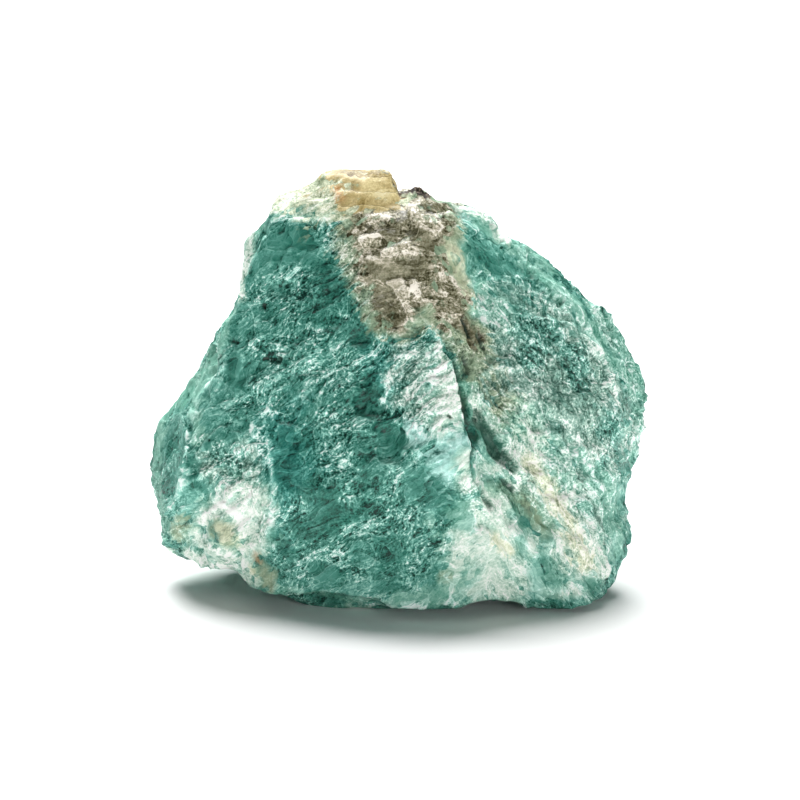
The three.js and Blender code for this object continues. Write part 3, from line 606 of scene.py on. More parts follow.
GRAIN_BENDS = Drift(7.0, 4.0, 5)
GRAIN_JAGS = Drift(1.6, 0.6, 21)
SCOOPS = Pattern((5.0, 2.8, 3.0), 1)
LARGE_FACES = Pattern((4.8, 2.6, 3.0), 6)
SMALL_FACES = Pattern((1.8, 0.7, 0.8), 7)
BORDER_CHIPS = Pattern((1.3, 0.6, 0.7), 19)
LACE = Pattern((1.1, 0.7, 0.8), 22)
GLINTS = Pattern((0.55, 0.28, 0.3), 23)
SHELLS = Pattern((6.5, 3.8, 4.4), 4, detail=1.0, rough=0.5)
WISPS = Pattern((6.0, 0.4, 0.7), 15, detail=1.0, rough=0.5)
FIBRES = Pattern((0.8, 0.2, 0.26), 12, detail=1.0, rough=0.9)

QUARTZ_BENDS = Drift(3.0, 2.6, 65)
QUARTZ_JAGS = Drift(1.2, 1.0, 63)
QUARTZ_FACES = Pattern((4.6, 3.0, 2.0), 62)
QUARTZ_WAVES = Pattern((7.0, 4.0, 3.4), 61, rough=0.55)
QUARTZ_SHOWN = Pattern(1.8, 67, rough=0.7)
STREAK_BENDS = Drift(3.0, 1.2, 64)
STREAKS = Pattern((4.0, 2.0, 0.4), 66, rough=0.65)
SHARD_BENDS = Drift(2.0, 1.2, 68)
SHARDS = Pattern((1.7, 1.0, 0.6), 69)


# ------------------------------------------------------------------ node trees as expressions


class Wire:
    """An output of a node. Its operators add Math or Vector Math nodes."""

    def __init__(self, nodes: Nodes, socket: bpy.types.NodeSocket) -> None:
        """Keeps the socket and the tree that it is in."""
        self.nodes = nodes
        self.socket = socket

    @property
    def is_vector(self) -> bool:
        """Whether the output is a vector or a colour."""
        return self.socket.type in {"VECTOR", "RGBA"}

    def __add__(self, other: Term) -> Wire:
        """self + other."""
        return self.nodes.combine("ADD", self, other)

    def __radd__(self, other: Term) -> Wire:
        """other + self."""
        return self.nodes.combine("ADD", other, self)

    def __sub__(self, other: Term) -> Wire:
        """self - other."""
        return self.nodes.combine("SUBTRACT", self, other)

    def __rsub__(self, other: Term) -> Wire:
        """other - self."""
        return self.nodes.combine("SUBTRACT", other, self)

    def __mul__(self, other: Term) -> Wire:
        """self * other."""
        return self.nodes.combine("MULTIPLY", self, other)

    def __rmul__(self, other: Term) -> Wire:
        """other * self."""
        return self.nodes.combine("MULTIPLY", other, self)

    def __truediv__(self, other: Term) -> Wire:
        """self / other."""
        return self.nodes.combine("DIVIDE", self, other)

    def __pow__(self, other: Term) -> Wire:
        """self to a power."""
        return self.nodes.combine("POWER", self, other)

    def larger(self, other: Term) -> Wire:
        """The larger of self and other."""
        return self.nodes.combine("MAXIMUM", self, other)

    def smaller(self, other: Term) -> Wire:
        """The smaller of self and other."""
        return self.nodes.combine("MINIMUM", self, other)

    def rise(self, start: float, end: float, low: float = 0.0, high: float = 1.0) -> Wire:
        """Goes smoothly from low to high while self goes from start to end.

        Args:
            start: where the rise starts.
            end: where it ends. It may be less than start.
            low: the value before the start.
            high: the value past the end.

        Returns:
            The risen value.
        """
        if end < start:
            start, end, low, high = end, start, high, low
        settings = {"interpolation_type": "SMOOTHSTEP"}
        sockets = {"Value": self, "From Min": start, "From Max": end, "To Min": low, "To Max": high}
        return self.nodes.wire("ShaderNodeMapRange", "Result", settings, sockets)

    def mixed(self, other: Term, share: Term) -> Wire:
        """Goes from self to other as share goes from 0 to 1."""
        return self.nodes.mix(self, other, share)


Term = Wire | float | Place


class Nodes:
    """A node tree that is built from expressions."""

    own_number: Place = (0.4, 0.35, 0.25)  # makes one number of a cell's random colour

    def __init__(self, tree: bpy.types.NodeTree) -> None:
        """Starts from an empty tree."""
        self.tree = tree
        tree.nodes.clear()

    def node(
        self,
        kind: str,
        settings: Mapping[str, Any] | None = None,
        sockets: Mapping[str | int, Any] | None = None,
    ) -> bpy.types.Node:
        """Adds a node.

        Args:
            kind: the node's type.
            settings: its own settings, set first.
            sockets: a value or a link for each socket, by name or number.

        Returns:
            The node.
        """
        node = self.tree.nodes.new(kind)
        for name, value in (settings or {}).items():
            setattr(node, name, value)
        for key, value in (sockets or {}).items():
            if isinstance(value, Wire):
                self.tree.links.new(value.socket, node.inputs[key])
            else:
                node.inputs[key].default_value = value
        return node

    def wire(
        self,
        kind: str,
        output: str | int,
        settings: Mapping[str, Any] | None = None,
        sockets: Mapping[str | int, Any] | None = None,
    ) -> Wire:
        """Adds a node and returns one of its outputs."""
        return Wire(self, self.node(kind, settings, sockets).outputs[output])

    def combine(self, operation: str, first: Term, second: Term) -> Wire:
        """Adds a Math node, or a Vector Math node where a side is a vector."""
        if not has_vector(first, second):
            return self.wire("ShaderNodeMath", 0, {"operation": operation}, {0: first, 1: second})
        first, second = (term if isinstance(term, Wire | tuple) else (term,) * 3 for term in (first, second))
        return self.wire("ShaderNodeVectorMath", 0, {"operation": operation}, {0: first, 1: second})

    def dot(self, first: Term, second: Term) -> Wire:
        """The dot product of two vectors."""
        return self.wire("ShaderNodeVectorMath", "Value", {"operation": "DOT_PRODUCT"}, {0: first, 1: second})

    def absolute(self, value: Wire) -> Wire:
        """The value without its sign."""
        return self.wire("ShaderNodeMath", 0, {"operation": "ABSOLUTE"}, {0: value})

    def fraction(self, value: Wire) -> Wire:
        """What is left of a value above a whole number."""
        return self.wire("ShaderNodeMath", 0, {"operation": "FRACT"}, {0: value})

    def mix(self, first: Term, second: Term, share: Term) -> Wire:
        """Mixes two colours, or two numbers."""
        if not has_vector(first, second):
            return self.wire("ShaderNodeMix", 0, {"data_type": "FLOAT"}, {0: share, 2: first, 3: second})
        colours = [term + (1.0,) if isinstance(term, tuple) else term for term in (first, second)]
        return self.wire("ShaderNodeMix", 2, {"data_type": "RGBA"}, {0: share, 6: colours[0], 7: colours[1]})

    def ramp(self, share: Wire, *codes: str) -> Wire:
        """Goes through colours.

        Args:
            share: how far along, from 0 to 1.
            codes: the colours as hex codes, evenly spaced.

        Returns:
            The colour.
        """
        node = self.node("ShaderNodeValToRGB", None, {0: share})
        stops = node.color_ramp.elements
        for number in range(1, len(codes) - 1):
            stops.new(number / (len(codes) - 1))
        for stop, code in zip(stops, codes, strict=True):
            stop.color = colour(code) + (1.0,)
        return Wire(self, node.outputs["Color"])

    def noise(self, place: Wire, pattern: Pattern) -> Wire:
        """Lumps, mostly from 0.35 to 0.65."""
        return self._noise(place, pattern, "Fac")

    def drift(self, place: Wire, drift: Drift) -> Wire:
        """The place, moved so that straight patterns wander."""
        return place + (self._noise(place, drift.bends, "Color") - 0.5) * drift.reach

    def _noise(self, place: Wire, pattern: Pattern, output: str) -> Wire:
        """A noise texture's output."""
        sockets = {"Vector": pattern.spot(place), "Scale": 1.0}
        sockets |= {"Detail": pattern.detail, "Roughness": pattern.rough}
        return self.wire("ShaderNodeTexNoise", output, None, sockets)

    def _cells(self, place: Wire, pattern: Pattern, feature: str) -> bpy.types.Node:
        """A Voronoi texture of a pattern's cells."""
        sockets = {"Vector": pattern.spot(place), "Scale": 1.0}
        return self.node("ShaderNodeTexVoronoi", {"feature": feature}, sockets)

    def cell_edges(self, place: Wire, pattern: Pattern) -> Wire:
        """How far the place is from the border between two cells, in cells."""
        return Wire(self, self._cells(place, pattern, "DISTANCE_TO_EDGE").outputs["Distance"])

    def scoops(self, place: Wire, pattern: Pattern) -> Wire:
        """Bowls with sharp ridges between them, from 0 in a bowl's middle to about 0.6 on a ridge."""
        distance = Wire(self, self._cells(place, pattern, "F1").outputs["Distance"])
        return distance * distance

    def facets(self, place: Wire, pattern: Pattern) -> tuple[Wire, Wire]:
        """Flat faces, each tilted its own way.

        Args:
            place: where, in millimetres.
            pattern: the faces' sizes and seed.

        Returns:
            The height, about -0.3 to 0.3, and a number from 0 to 1 that is each face's own.
        """
        cells = self._cells(place, pattern, "F1")
        own = Wire(self, cells.outputs["Color"])
        middle = Wire(self, cells.outputs["Position"])
        return self.dot(own - 0.5, pattern.spot(place) - middle), self.dot(own, self.own_number)


def has_vector(*terms: Term) -> bool:
    """Whether a term is a vector or a colour."""
    return any(isinstance(term, tuple) or isinstance(term, Wire) and term.is_vector for term in terms)


MAIN_WAY = "main_way"  # the place along, across and through the grain of the main crystal
RIGHT_WAY = "right_way"  # and of the one on the right
OWN_WAY = "own_way"  # and of the crystal that the face is in
CRYSTAL = "crystal"  # the same, wandering as the grain does
RIGHT_SHARE = "right_share"  # 1 in the right crystal, 0 in the main one
GROWN = "grown"  # the place before the surface broke, in millimetres
RIDGE = "ridge"  # 1 on a sharp ridge, -1 in a sharp hollow; the paint lightens ridges and darkens hollows by it, as painted highlight and shade


class StoneNodes(Nodes):
    """Nodes that read the stone: its places, its crystals and where each mineral grew."""

    layers: Place = (0.03, 0.04, 0.6)  # of the bedding, per millimetre along X, Y and Z
    layer_bend: float = 0.9
    outset: float = 0.25  # how far outside its strokes a growth ends, as a share of their radius
    patchy: tuple[float, float] = (0.38, 0.62)  # lumps fade out and in between these

    def __init__(self, tree: bpy.types.NodeTree) -> None:
        """Reads what every pattern starts from."""
        super().__init__(tree)
        self.place = self.attribute(GROWN, vector=True)
        self.texture = self.noise(self.place, TEXTURE) - 0.5
        self.patches = self.noise(self.place, PATCHES).rise(*self.patchy)
        self.border = self.texture

    def attribute(self, name: str, vector: bool = False) -> Wire:
        """An attribute of the mesh."""
        raise NotImplementedError

    def inside(self, growth: Growth, soft: float = 0.3, ragged: float = 4.0) -> Wire:
        """1 where a growth is, 0 where it isn't.

        Args:
            growth: which growth.
            soft: how soft its border is, as a share of a stroke's radius.
            ragged: how far its border wanders with the texture.

        Returns:
            The share of the growth at the place.
        """
        level = self.attribute(growth.value) + self.border * ragged + self.outset
        return level.rise(-soft, soft)

    def bedding(self) -> Wire:
        """Level layers, each rising from 0 to 1 at its upper edge."""
        return self.fraction(self.dot(self.place, self.layers) + self.texture * self.layer_bend)

    def quartz_chips(self) -> tuple[Wire, Wire, Wire]:
        """The quartz's faces.

        Returns:
            Their height, each one's own number, and how far the place is from a face's border.
        """
        jagged = self.drift(self.drift(self.place, QUARTZ_BENDS), QUARTZ_JAGS)
        return *self.facets(jagged, QUARTZ_FACES), self.cell_edges(jagged, QUARTZ_FACES)


class ReliefNodes(StoneNodes):
    """Stone nodes in a Geometry Nodes tree."""

    def attribute(self, name: str, vector: bool = False) -> Wire:
        """An attribute of the mesh."""
        settings = {"data_type": "FLOAT_VECTOR" if vector else "FLOAT"}
        return self.wire("GeometryNodeInputNamedAttribute", "Attribute", settings, {"Name": name})

    def kept(self, geometry: Wire, name: str, value: Wire, domain: str = "POINT") -> Wire:
        """Keeps a vector on the mesh as an attribute."""
        settings = {"data_type": "FLOAT_VECTOR", "domain": domain}
        sockets = {"Geometry": geometry, "Name": name, "Value": value}
        return self.wire("GeometryNodeStoreNamedAttribute", "Geometry", settings, sockets)


class PaintNodes(StoneNodes):
    """Stone nodes in a material's tree."""

    border_texture: float = 0.7  # how much each pattern moves the borders of the minerals
    border_chips: float = 0.6
    border_grit: float = 0.2

    def __init__(self, tree: bpy.types.NodeTree) -> None:
        """Makes the borders of the minerals grainy."""
        super().__init__(tree)
        self.grit = self.noise(self.place, GRIT) - 0.5
        chips = self.facets(self.attribute(CRYSTAL, vector=True), BORDER_CHIPS)[1] - 0.5
        self.border = self.texture * self.border_texture + chips * self.border_chips
        self.border += self.grit * self.border_grit

    def attribute(self, name: str, vector: bool = False) -> Wire:
        """An attribute of the mesh."""
        return self.wire("ShaderNodeAttribute", "Vector" if vector else "Fac", {"attribute_name": name})


class Crystal:
    """How one crystal breaks, in its own directions."""

    ledge_count: Place = (0.06, 0.42, 0.16)  # per millimetre along, across and through the grain
    ledge_shift: float = 4.0  # how many ledges one large face's lie off the next one's
    stria_count: Place = (0.3, 1.5, 0.6)
    stria_shift: float = 3.0
    shell_count: float = 6.0  # on one lump

    def __init__(self, nodes: StoneNodes, way: Wire) -> None:
        """Starts from the wandering place along, across and through the grain."""
        self.nodes = nodes
        self.way = way
        self.jagged = nodes.drift(way, GRAIN_JAGS)

    def ledges(self) -> Wire:
        """Cleavage steps across the grain of each large face, each rising from 0 to 1 at its edge."""
        shift = self.large_faces()[1] * self.ledge_shift
        return self.nodes.fraction(self.nodes.dot(self.jagged, self.ledge_count) + shift)

    def striae(self) -> Wire:
        """Fine cleavage steps, on each small face its own."""
        shift = self.small_faces()[1] * self.stria_shift
        return self.nodes.fraction(self.nodes.dot(self.jagged, self.stria_count) + shift)

    def shells(self) -> Wire:
        """Curved ripples, each rising from 0 to 1 at its rim."""
        return self.nodes.fraction(self.nodes.noise(self.jagged, SHELLS) * self.shell_count)

    def large_faces(self) -> tuple[Wire, Wire]:
        """Large broken faces: their height and each one's own number."""
        return self.nodes.facets(self.jagged, LARGE_FACES)

    def small_faces(self) -> tuple[Wire, Wire]:
        """Small broken faces: their height and each one's own number."""
        return self.nodes.facets(self.jagged, SMALL_FACES)


# ------------------------------------------------------------------ the broken surface


@dataclass(frozen=True)
class Break:
    """One size of the relief: its name in the tree, and its height in millimetres."""

    name: str
    height: float


@dataclass(frozen=True)
class Relief:
    """The heights of the broken surface, in millimetres."""

    scoops: Break = Break("Scoop Height", 0.7)
    faces: Break = Break("Face Height", 1.1)
    ledges: Break = Break("Ledge Height", 0.3)
    shells: Break = Break("Shell Height", 0.14)
    crumbs: Break = Break("Crumb Height", 0.8)
    texture: Break = Break("Texture Height", 0.8)
    chips: Break = Break("Quartz Chip Height", 0.45)
    flakes: Break = Break("Flake Height", 0.4)
    threads: Break = Break("Lit Edge Height", 0.15)
    pits: Break = Break("Pit Depth", 0.6)
    shaded_cracks: Break = Break("Crack Depth", 0.6)
    main_rugged: float = 0.35  # how rugged the main crystal is
    right_rugged: float = 1.0
    scoop_level: float = 0.3  # half as deep as a scoop
    layers: float = 1.6  # of the honey-coloured cap, in ledge heights
    mica: float = 4.0  # in crumb heights
    quartz_texture: float = 0.25  # a share of the texture
    cap_share: float = 0.9  # how much of the relief under it the cap hides
    sparse_ledges: float = 0.3  # the share of the ledges that is left outside patches
    sparse_crumbs: float = 0.25  # and of the small faces outside grainy feldspar
    least_texture: float = 0.2  # the share of the texture that even a smooth crystal has
    calm_below: float = 1.2  # the relief dies away from here down to the flat spot

    def build(self) -> bpy.types.GeometryNodeTree:
        """Builds the tree that breaks the surface.

        Returns:
            The tree, with a height input for each size of break.
        """
        tree = bpy.data.node_groups.new("broken surface", "GeometryNodeTree")
        tree.interface.new_socket("Geometry", in_out="INPUT", socket_type="NodeSocketGeometry")
        for part in self.breaks():
            tree.interface.new_socket(part.name, in_out="INPUT", socket_type="NodeSocketFloat")
        tree.interface.new_socket("Material", in_out="INPUT", socket_type="NodeSocketMaterial")
        tree.interface.new_socket("Geometry", in_out="OUTPUT", socket_type="NodeSocketGeometry")
        nodes = ReliefNodes(tree)
        given = nodes.node("NodeGroupInput")
        stone = Wire(nodes, given.outputs["Geometry"])
        stone = nodes.kept(stone, GROWN, nodes.wire("GeometryNodeInputPosition", 0) * (1 / MM))
        stone = nodes.kept(stone, CRYSTAL, wandering(nodes, OWN_WAY), "CORNER")
        heights = {part.name: Wire(nodes, given.outputs[part.name]) for part in self.breaks()}
        offset = nodes.wire("GeometryNodeInputNormal", "Normal") * (self._height(nodes, heights) * MM)
        moved = nodes.wire("GeometryNodeSetPosition", 0, None, {"Geometry": stone, "Offset": offset})
        real = nodes.wire("GeometryNodeRealizeInstances", 0, None, {0: moved})
        material = Wire(nodes, given.outputs["Material"])
        dressed = nodes.wire("GeometryNodeSetMaterial", 0, None, {"Geometry": real, "Material": material})
        nodes.node("NodeGroupOutput", None, {0: dressed})
        return tree

    def breaks(self) -> list[Break]:
        """Every size of break."""
        return [value for value in vars(self).values() if isinstance(value, Break)]

    def _height(self, nodes: ReliefNodes, given: Mapping[str, Wire]) -> Wire:
        """The height of the relief, in millimetres."""
        main = self._feldspar(nodes, given, Crystal(nodes, wandering(nodes, MAIN_WAY)), self.main_rugged)
        right = self._feldspar(nodes, given, Crystal(nodes, wandering(nodes, RIGHT_WAY)), self.right_rugged)
        height = main.mixed(right, nodes.attribute(RIGHT_SHARE))
        layers = given[self.ledges.name] * (nodes.bedding() - 0.5) * self.layers
        height = height.mixed(layers, nodes.inside(Growth.HONEY, soft=0.5) * self.cap_share)
        height = height.mixed(self._quartz(nodes, given), nodes.inside(Growth.SMOKY, soft=0.8))
        mica = (nodes.noise(nodes.place, MICA_CRUMBS) - 0.5) * self.mica * nodes.inside(Growth.MICA, soft=0.6)
        height += given[self.crumbs.name] * mica
        height += given[self.flakes.name] * nodes.inside(Growth.FLAKE, soft=0.15, ragged=2.0)
        height += given[self.threads.name] * nodes.inside(Growth.THREAD, soft=0.6)
        height -= given[self.pits.name] * nodes.inside(Growth.PIT, soft=0.5)
        height -= given[self.shaded_cracks.name] * nodes.inside(Growth.SHADED_CRACK, soft=0.7, ragged=2.0)
        up = nodes.dot(nodes.place, (0.0, 0.0, 1.0))
        return height * up.rise(0.0, self.calm_below)

    def _feldspar(
        self, nodes: ReliefNodes, given: Mapping[str, Wire], crystal: Crystal, rugged: float
    ) -> Wire:
        """The relief of one feldspar crystal."""
        grain = nodes.inside(Growth.GRAIN, soft=0.8)
        height = given[self.scoops.name] * (nodes.scoops(crystal.way, SCOOPS) - self.scoop_level) * rugged
        height += given[self.faces.name] * crystal.large_faces()[0] * rugged
        ledges = (crystal.ledges() - 0.5) * nodes.mix(self.sparse_ledges, 1.0, nodes.patches)
        height += given[self.ledges.name] * ledges
        height += given[self.shells.name] * (crystal.shells() - 0.5)
        crumbs = crystal.small_faces()[0] * nodes.mix(self.sparse_crumbs, 1.0, grain)
        height += given[self.crumbs.name] * crumbs
        texture = self.least_texture + (1 - self.least_texture) * rugged
        return height + given[self.texture.name] * nodes.texture * texture

    def _quartz(self, nodes: ReliefNodes, given: Mapping[str, Wire]) -> Wire:
        """The relief of the smoky quartz."""
        texture = given[self.texture.name] * nodes.texture * self.quartz_texture
        return given[self.chips.name] * nodes.quartz_chips()[0] + texture


def wandering(nodes: ReliefNodes, way: str) -> Wire:
    """An attribute's place along, across and through the grain, wandering as the grain does."""
    return nodes.drift(nodes.attribute(way, vector=True), GRAIN_BENDS)


# ------------------------------------------------------------------ the minerals' colours


def colour(code: str) -> Place:
    """The linear colour of a hex code such as "5f9c8c"."""
    parts = [int(code[i : i + 2], 16) / 255 for i in (0, 2, 4)]
    return tuple(part / 12.92 if part <= 0.04045 else ((part + 0.055) / 1.055) ** 2.4 for part in parts)


Shades = tuple[str, ...]


@dataclass(frozen=True)
class Busyness:
    """How strong the feldspar's fine patterns are, and what makes them stronger or calmer."""

    least: float = 0.42
    patches: float = 0.3
    veil: float = 0.42
    grain: float = 0.36
    white: float = 0.28
    most: float = 0.9
    calm: float = 0.5  # how much of them deep feldspar, and milky feldspar with its painted light, hide


@dataclass(frozen=True)
class FinePatterns:
    """How much each fine pattern lightens or darkens the feldspar. White and grainy feldspar is crumbly."""

    specks: float = 1.3
    crumbly_specks: float = 0.6  # added where it is crumbly
    fibres: float = 1.1
    crumbly_fibres: float = -0.8
    glints: float = 0.8
    grit: float = 0.6
    small_faces: float = 0.7
    painted_sparkle: float = 0.4  # the lightest specks, painted as glints
    spark_range: tuple[float, float] = (0.14, 0.3)
    # painted light on each fine step: lighter up to its edge, darker past it
    striae: float = 0.15
    lace_width: float = 0.1  # in cells
    veil_lace: float = 0.32
    grain_lace: float = 0.12


@dataclass(frozen=True)
class Lines:
    """How wide and how bright the thin lines of the feldspar are. Those on the rims of shells, ledges, striae
    and faces are painted highlights on broken edges.
    """

    shell_start: float = 0.93  # a line on a step starts this far up it
    ledge_start: float = 0.92
    stria_start: float = 0.84
    rim_width: float = 0.035  # in faces
    small_rim_width: float = 0.08
    wisp_range: tuple[float, float] = (0.6, 0.72)
    deep_rim: tuple[float, float] = (-0.2, 0.16)  # the level of the deep parts that it follows, and its width
    small_rims: float = 0.6  # how bright they are beside the other lines
    wisps: float = 0.35
    striae: float = 0.45
    everywhere: float = 0.18  # how much the lines lighten the feldspar
    patches: float = 0.3  # added in patches
    calm: float = 0.3  # the share of it that calm parts keep
    busy: float = 0.6


@dataclass(frozen=True)
class FeldsparTone:
    """How much each form and growth lightens the feldspar, whose tone goes from 0 to 1. On steps, bright
    edges, ridges and cracks it is painted light and shade.
    """

    plain: float = 0.31
    clouds: float = 0.46
    grain_clouds: float = -0.12  # added where it is grainy
    large_faces: float = 0.24
    white: float = 0.22
    veil: float = 0.05
    # painted light on each ledge and shell: lighter up to its edge, darker past it
    ledges: float = 0.16
    shells: float = 0.14
    # painted highlight on bright broken edges
    threads: float = 0.35
    # milky feldspar, and painted light on the rims and the right body
    haze_and_painted_light: float = 0.13
    deep: float = -0.15
    deep_clouds: float = 3.0  # how far clouds and small faces move the borders of the deep parts
    deep_faces: float = 1.4
    deep_range: tuple[float, float] = (-0.7, 0.5)
    # painted highlight on ridges and painted shade in hollows; below it, painted shade in cracks
    ridges: float = 0.12
    shaded_cracks: float = -0.45
    busyness: Busyness = Busyness()
    fine: FinePatterns = FinePatterns()
    lines: Lines = Lines()


@dataclass(frozen=True)
class QuartzTone:
    """How much each form and growth lightens the smoky quartz, whose tone goes from 0 to 1."""

    plain: float = 0.41
    faces: float = 0.3
    waves: float = 0.5
    streaks: float = 0.5
    clouds: float = 0.35
    specks: float = 1.4
    glints: float = 0.6
    shards: float = 0.9
    calm: float = 0.55  # how much of the three above deep quartz hides
    # painted highlights on the rims of the layers and the chips
    lines: float = 0.4
    deep: float = -0.17
    flakes: float = 0.27
    # a painted highlight on each flake's rim
    flake_rim_highlights: float = 0.4
    # painted highlight on ridges, shade in hollows; then painted highlight on bright edges and painted shade
    # in cracks
    ridges: float = 0.16
    threads: float = 0.35
    shaded_cracks: float = -0.45
    layers: Place = (0.08, 0.1, 0.42)  # per millimetre along X, Y and Z
    layer_bend: float = 2.6
    line_start: float = 0.9  # a line on a layer starts this far up it
    rim_width: float = 0.03  # in faces
    shown_range: tuple[float, float] = (0.42, 0.6)
    flake_clouds: float = 2.4  # how far clouds and small faces move the borders of the flakes
    flake_faces: float = 0.5
    flake_border: float = 0.06
    flake_rim_width: float = 0.16


@dataclass(frozen=True)
class CapTone:
    """How much each form and growth lightens the honey-coloured cap, whose tone goes from 0 to 1."""

    plain: float = 0.42
    clouds: float = 0.9
    large_faces: float = 0.4
    specks: float = 0.5
    # painted light on each layer: lighter up to its rim, a painted highlight on the rim and painted shade
    # below it
    layers: float = 0.2
    rim_highlights: float = 0.2
    shade_below_rims: float = -0.3
    rim_start: float = 0.9  # a layer's painted rim highlight starts this far up it
    shade_end: float = 0.07  # and the painted shade below it ends this far up
    haze_and_painted_light: float = 0.22
    deep: float = -0.14


@dataclass(frozen=True)
class Gloss:
    """How the stone shines, and the heights of what is too fine for its mesh, in millimetres."""

    roughness: float = 0.42
    speck_roughness: float = 1.2
    pale_roughness: float = 0.2  # added as the tone goes from 0 to 1
    smoothest: float = 0.1
    refraction: float = 1.53
    reflection: float = 0.2  # 0.5 is that of polished stone
    texture_height: float = 0.1
    speck_height: float = 0.1
    face_height: float = 0.35


@dataclass(frozen=True)
class AmazoniteFinish:
    """The colours of the minerals, as hex codes from each one's darkest to its lightest, and their gloss."""

    teal: Shades = ("0a3028", "2c7060", "579889", "94cfbf", "ecfcf6")
    blue: Shades = ("083630", "227066", "449a8e", "84ccc2", "e8fbf6")
    smoky: Shades = ("34321f", "63614a", "929077", "c4bda8", "f6f0e2")
    grain: Shades = ("42695b", "6f9888", "93b5a6", "bdd8ca", "f2f8f1")
    albite: Shades = ("55806d", "93b8a5", "c2dac9", "e2eee1", "fcfef9")
    cream: Shades = ("7d8c6c", "abb896", "d0d6b6", "e9edd2", "fcfdf0")
    honey: Shades = ("665428", "9f8d58", "c5b27c", "eadba4", "f9f0ca")
    # Mint and turquoise also paint light: light shining through thin edges, and faces turned to the light.
    mint: Shades = ("3f8571", "66a590", "8ac0ad", "b9e4d5", "eefbf6")
    lit_turquoise: Shades = ("5d9f93", "8cc4b8", "b0e0d6", "d2f7ef", "f4fefb")
    sage: Shades = ("5d6f58", "84977a", "a0b090", "c3ccb2", "eff3e4")
    mica: Shades = ("17120d", "342a22", "57493b", "8a7967", "d8cab4")
    rust: str = "c98a55"
    # the colour of the painted shade in the cracks
    shaded_crack: str = "33493e"
    mica_grit: float = 1.4  # how much grit is in the tone of the mica
    mica_shade: float = 0.3
    gloss: Gloss = Gloss()
    feldspar_tone: FeldsparTone = FeldsparTone()
    quartz_tone: QuartzTone = QuartzTone()
    cap_tone: CapTone = CapTone()

    def build(self) -> bpy.types.Material:
        """Builds the stone's material."""
        material = bpy.data.materials.new("rough amazonite")
        material.use_nodes = True
        nodes = PaintNodes(material.node_tree)
        paint = Paint(nodes, self)
        sockets = {
            "Base Color": paint.colour,
            "Roughness": paint.roughness,
            "Normal": nodes.wire("ShaderNodeBump", "Normal", None, {"Height": paint.height, "Distance": MM}),
            "IOR": self.gloss.refraction,
            "Specular IOR Level": self.gloss.reflection,
        }
        shader = nodes.wire("ShaderNodeBsdfPrincipled", "BSDF", None, sockets)
        nodes.node("ShaderNodeOutputMaterial", None, {"Surface": shader})
        return material


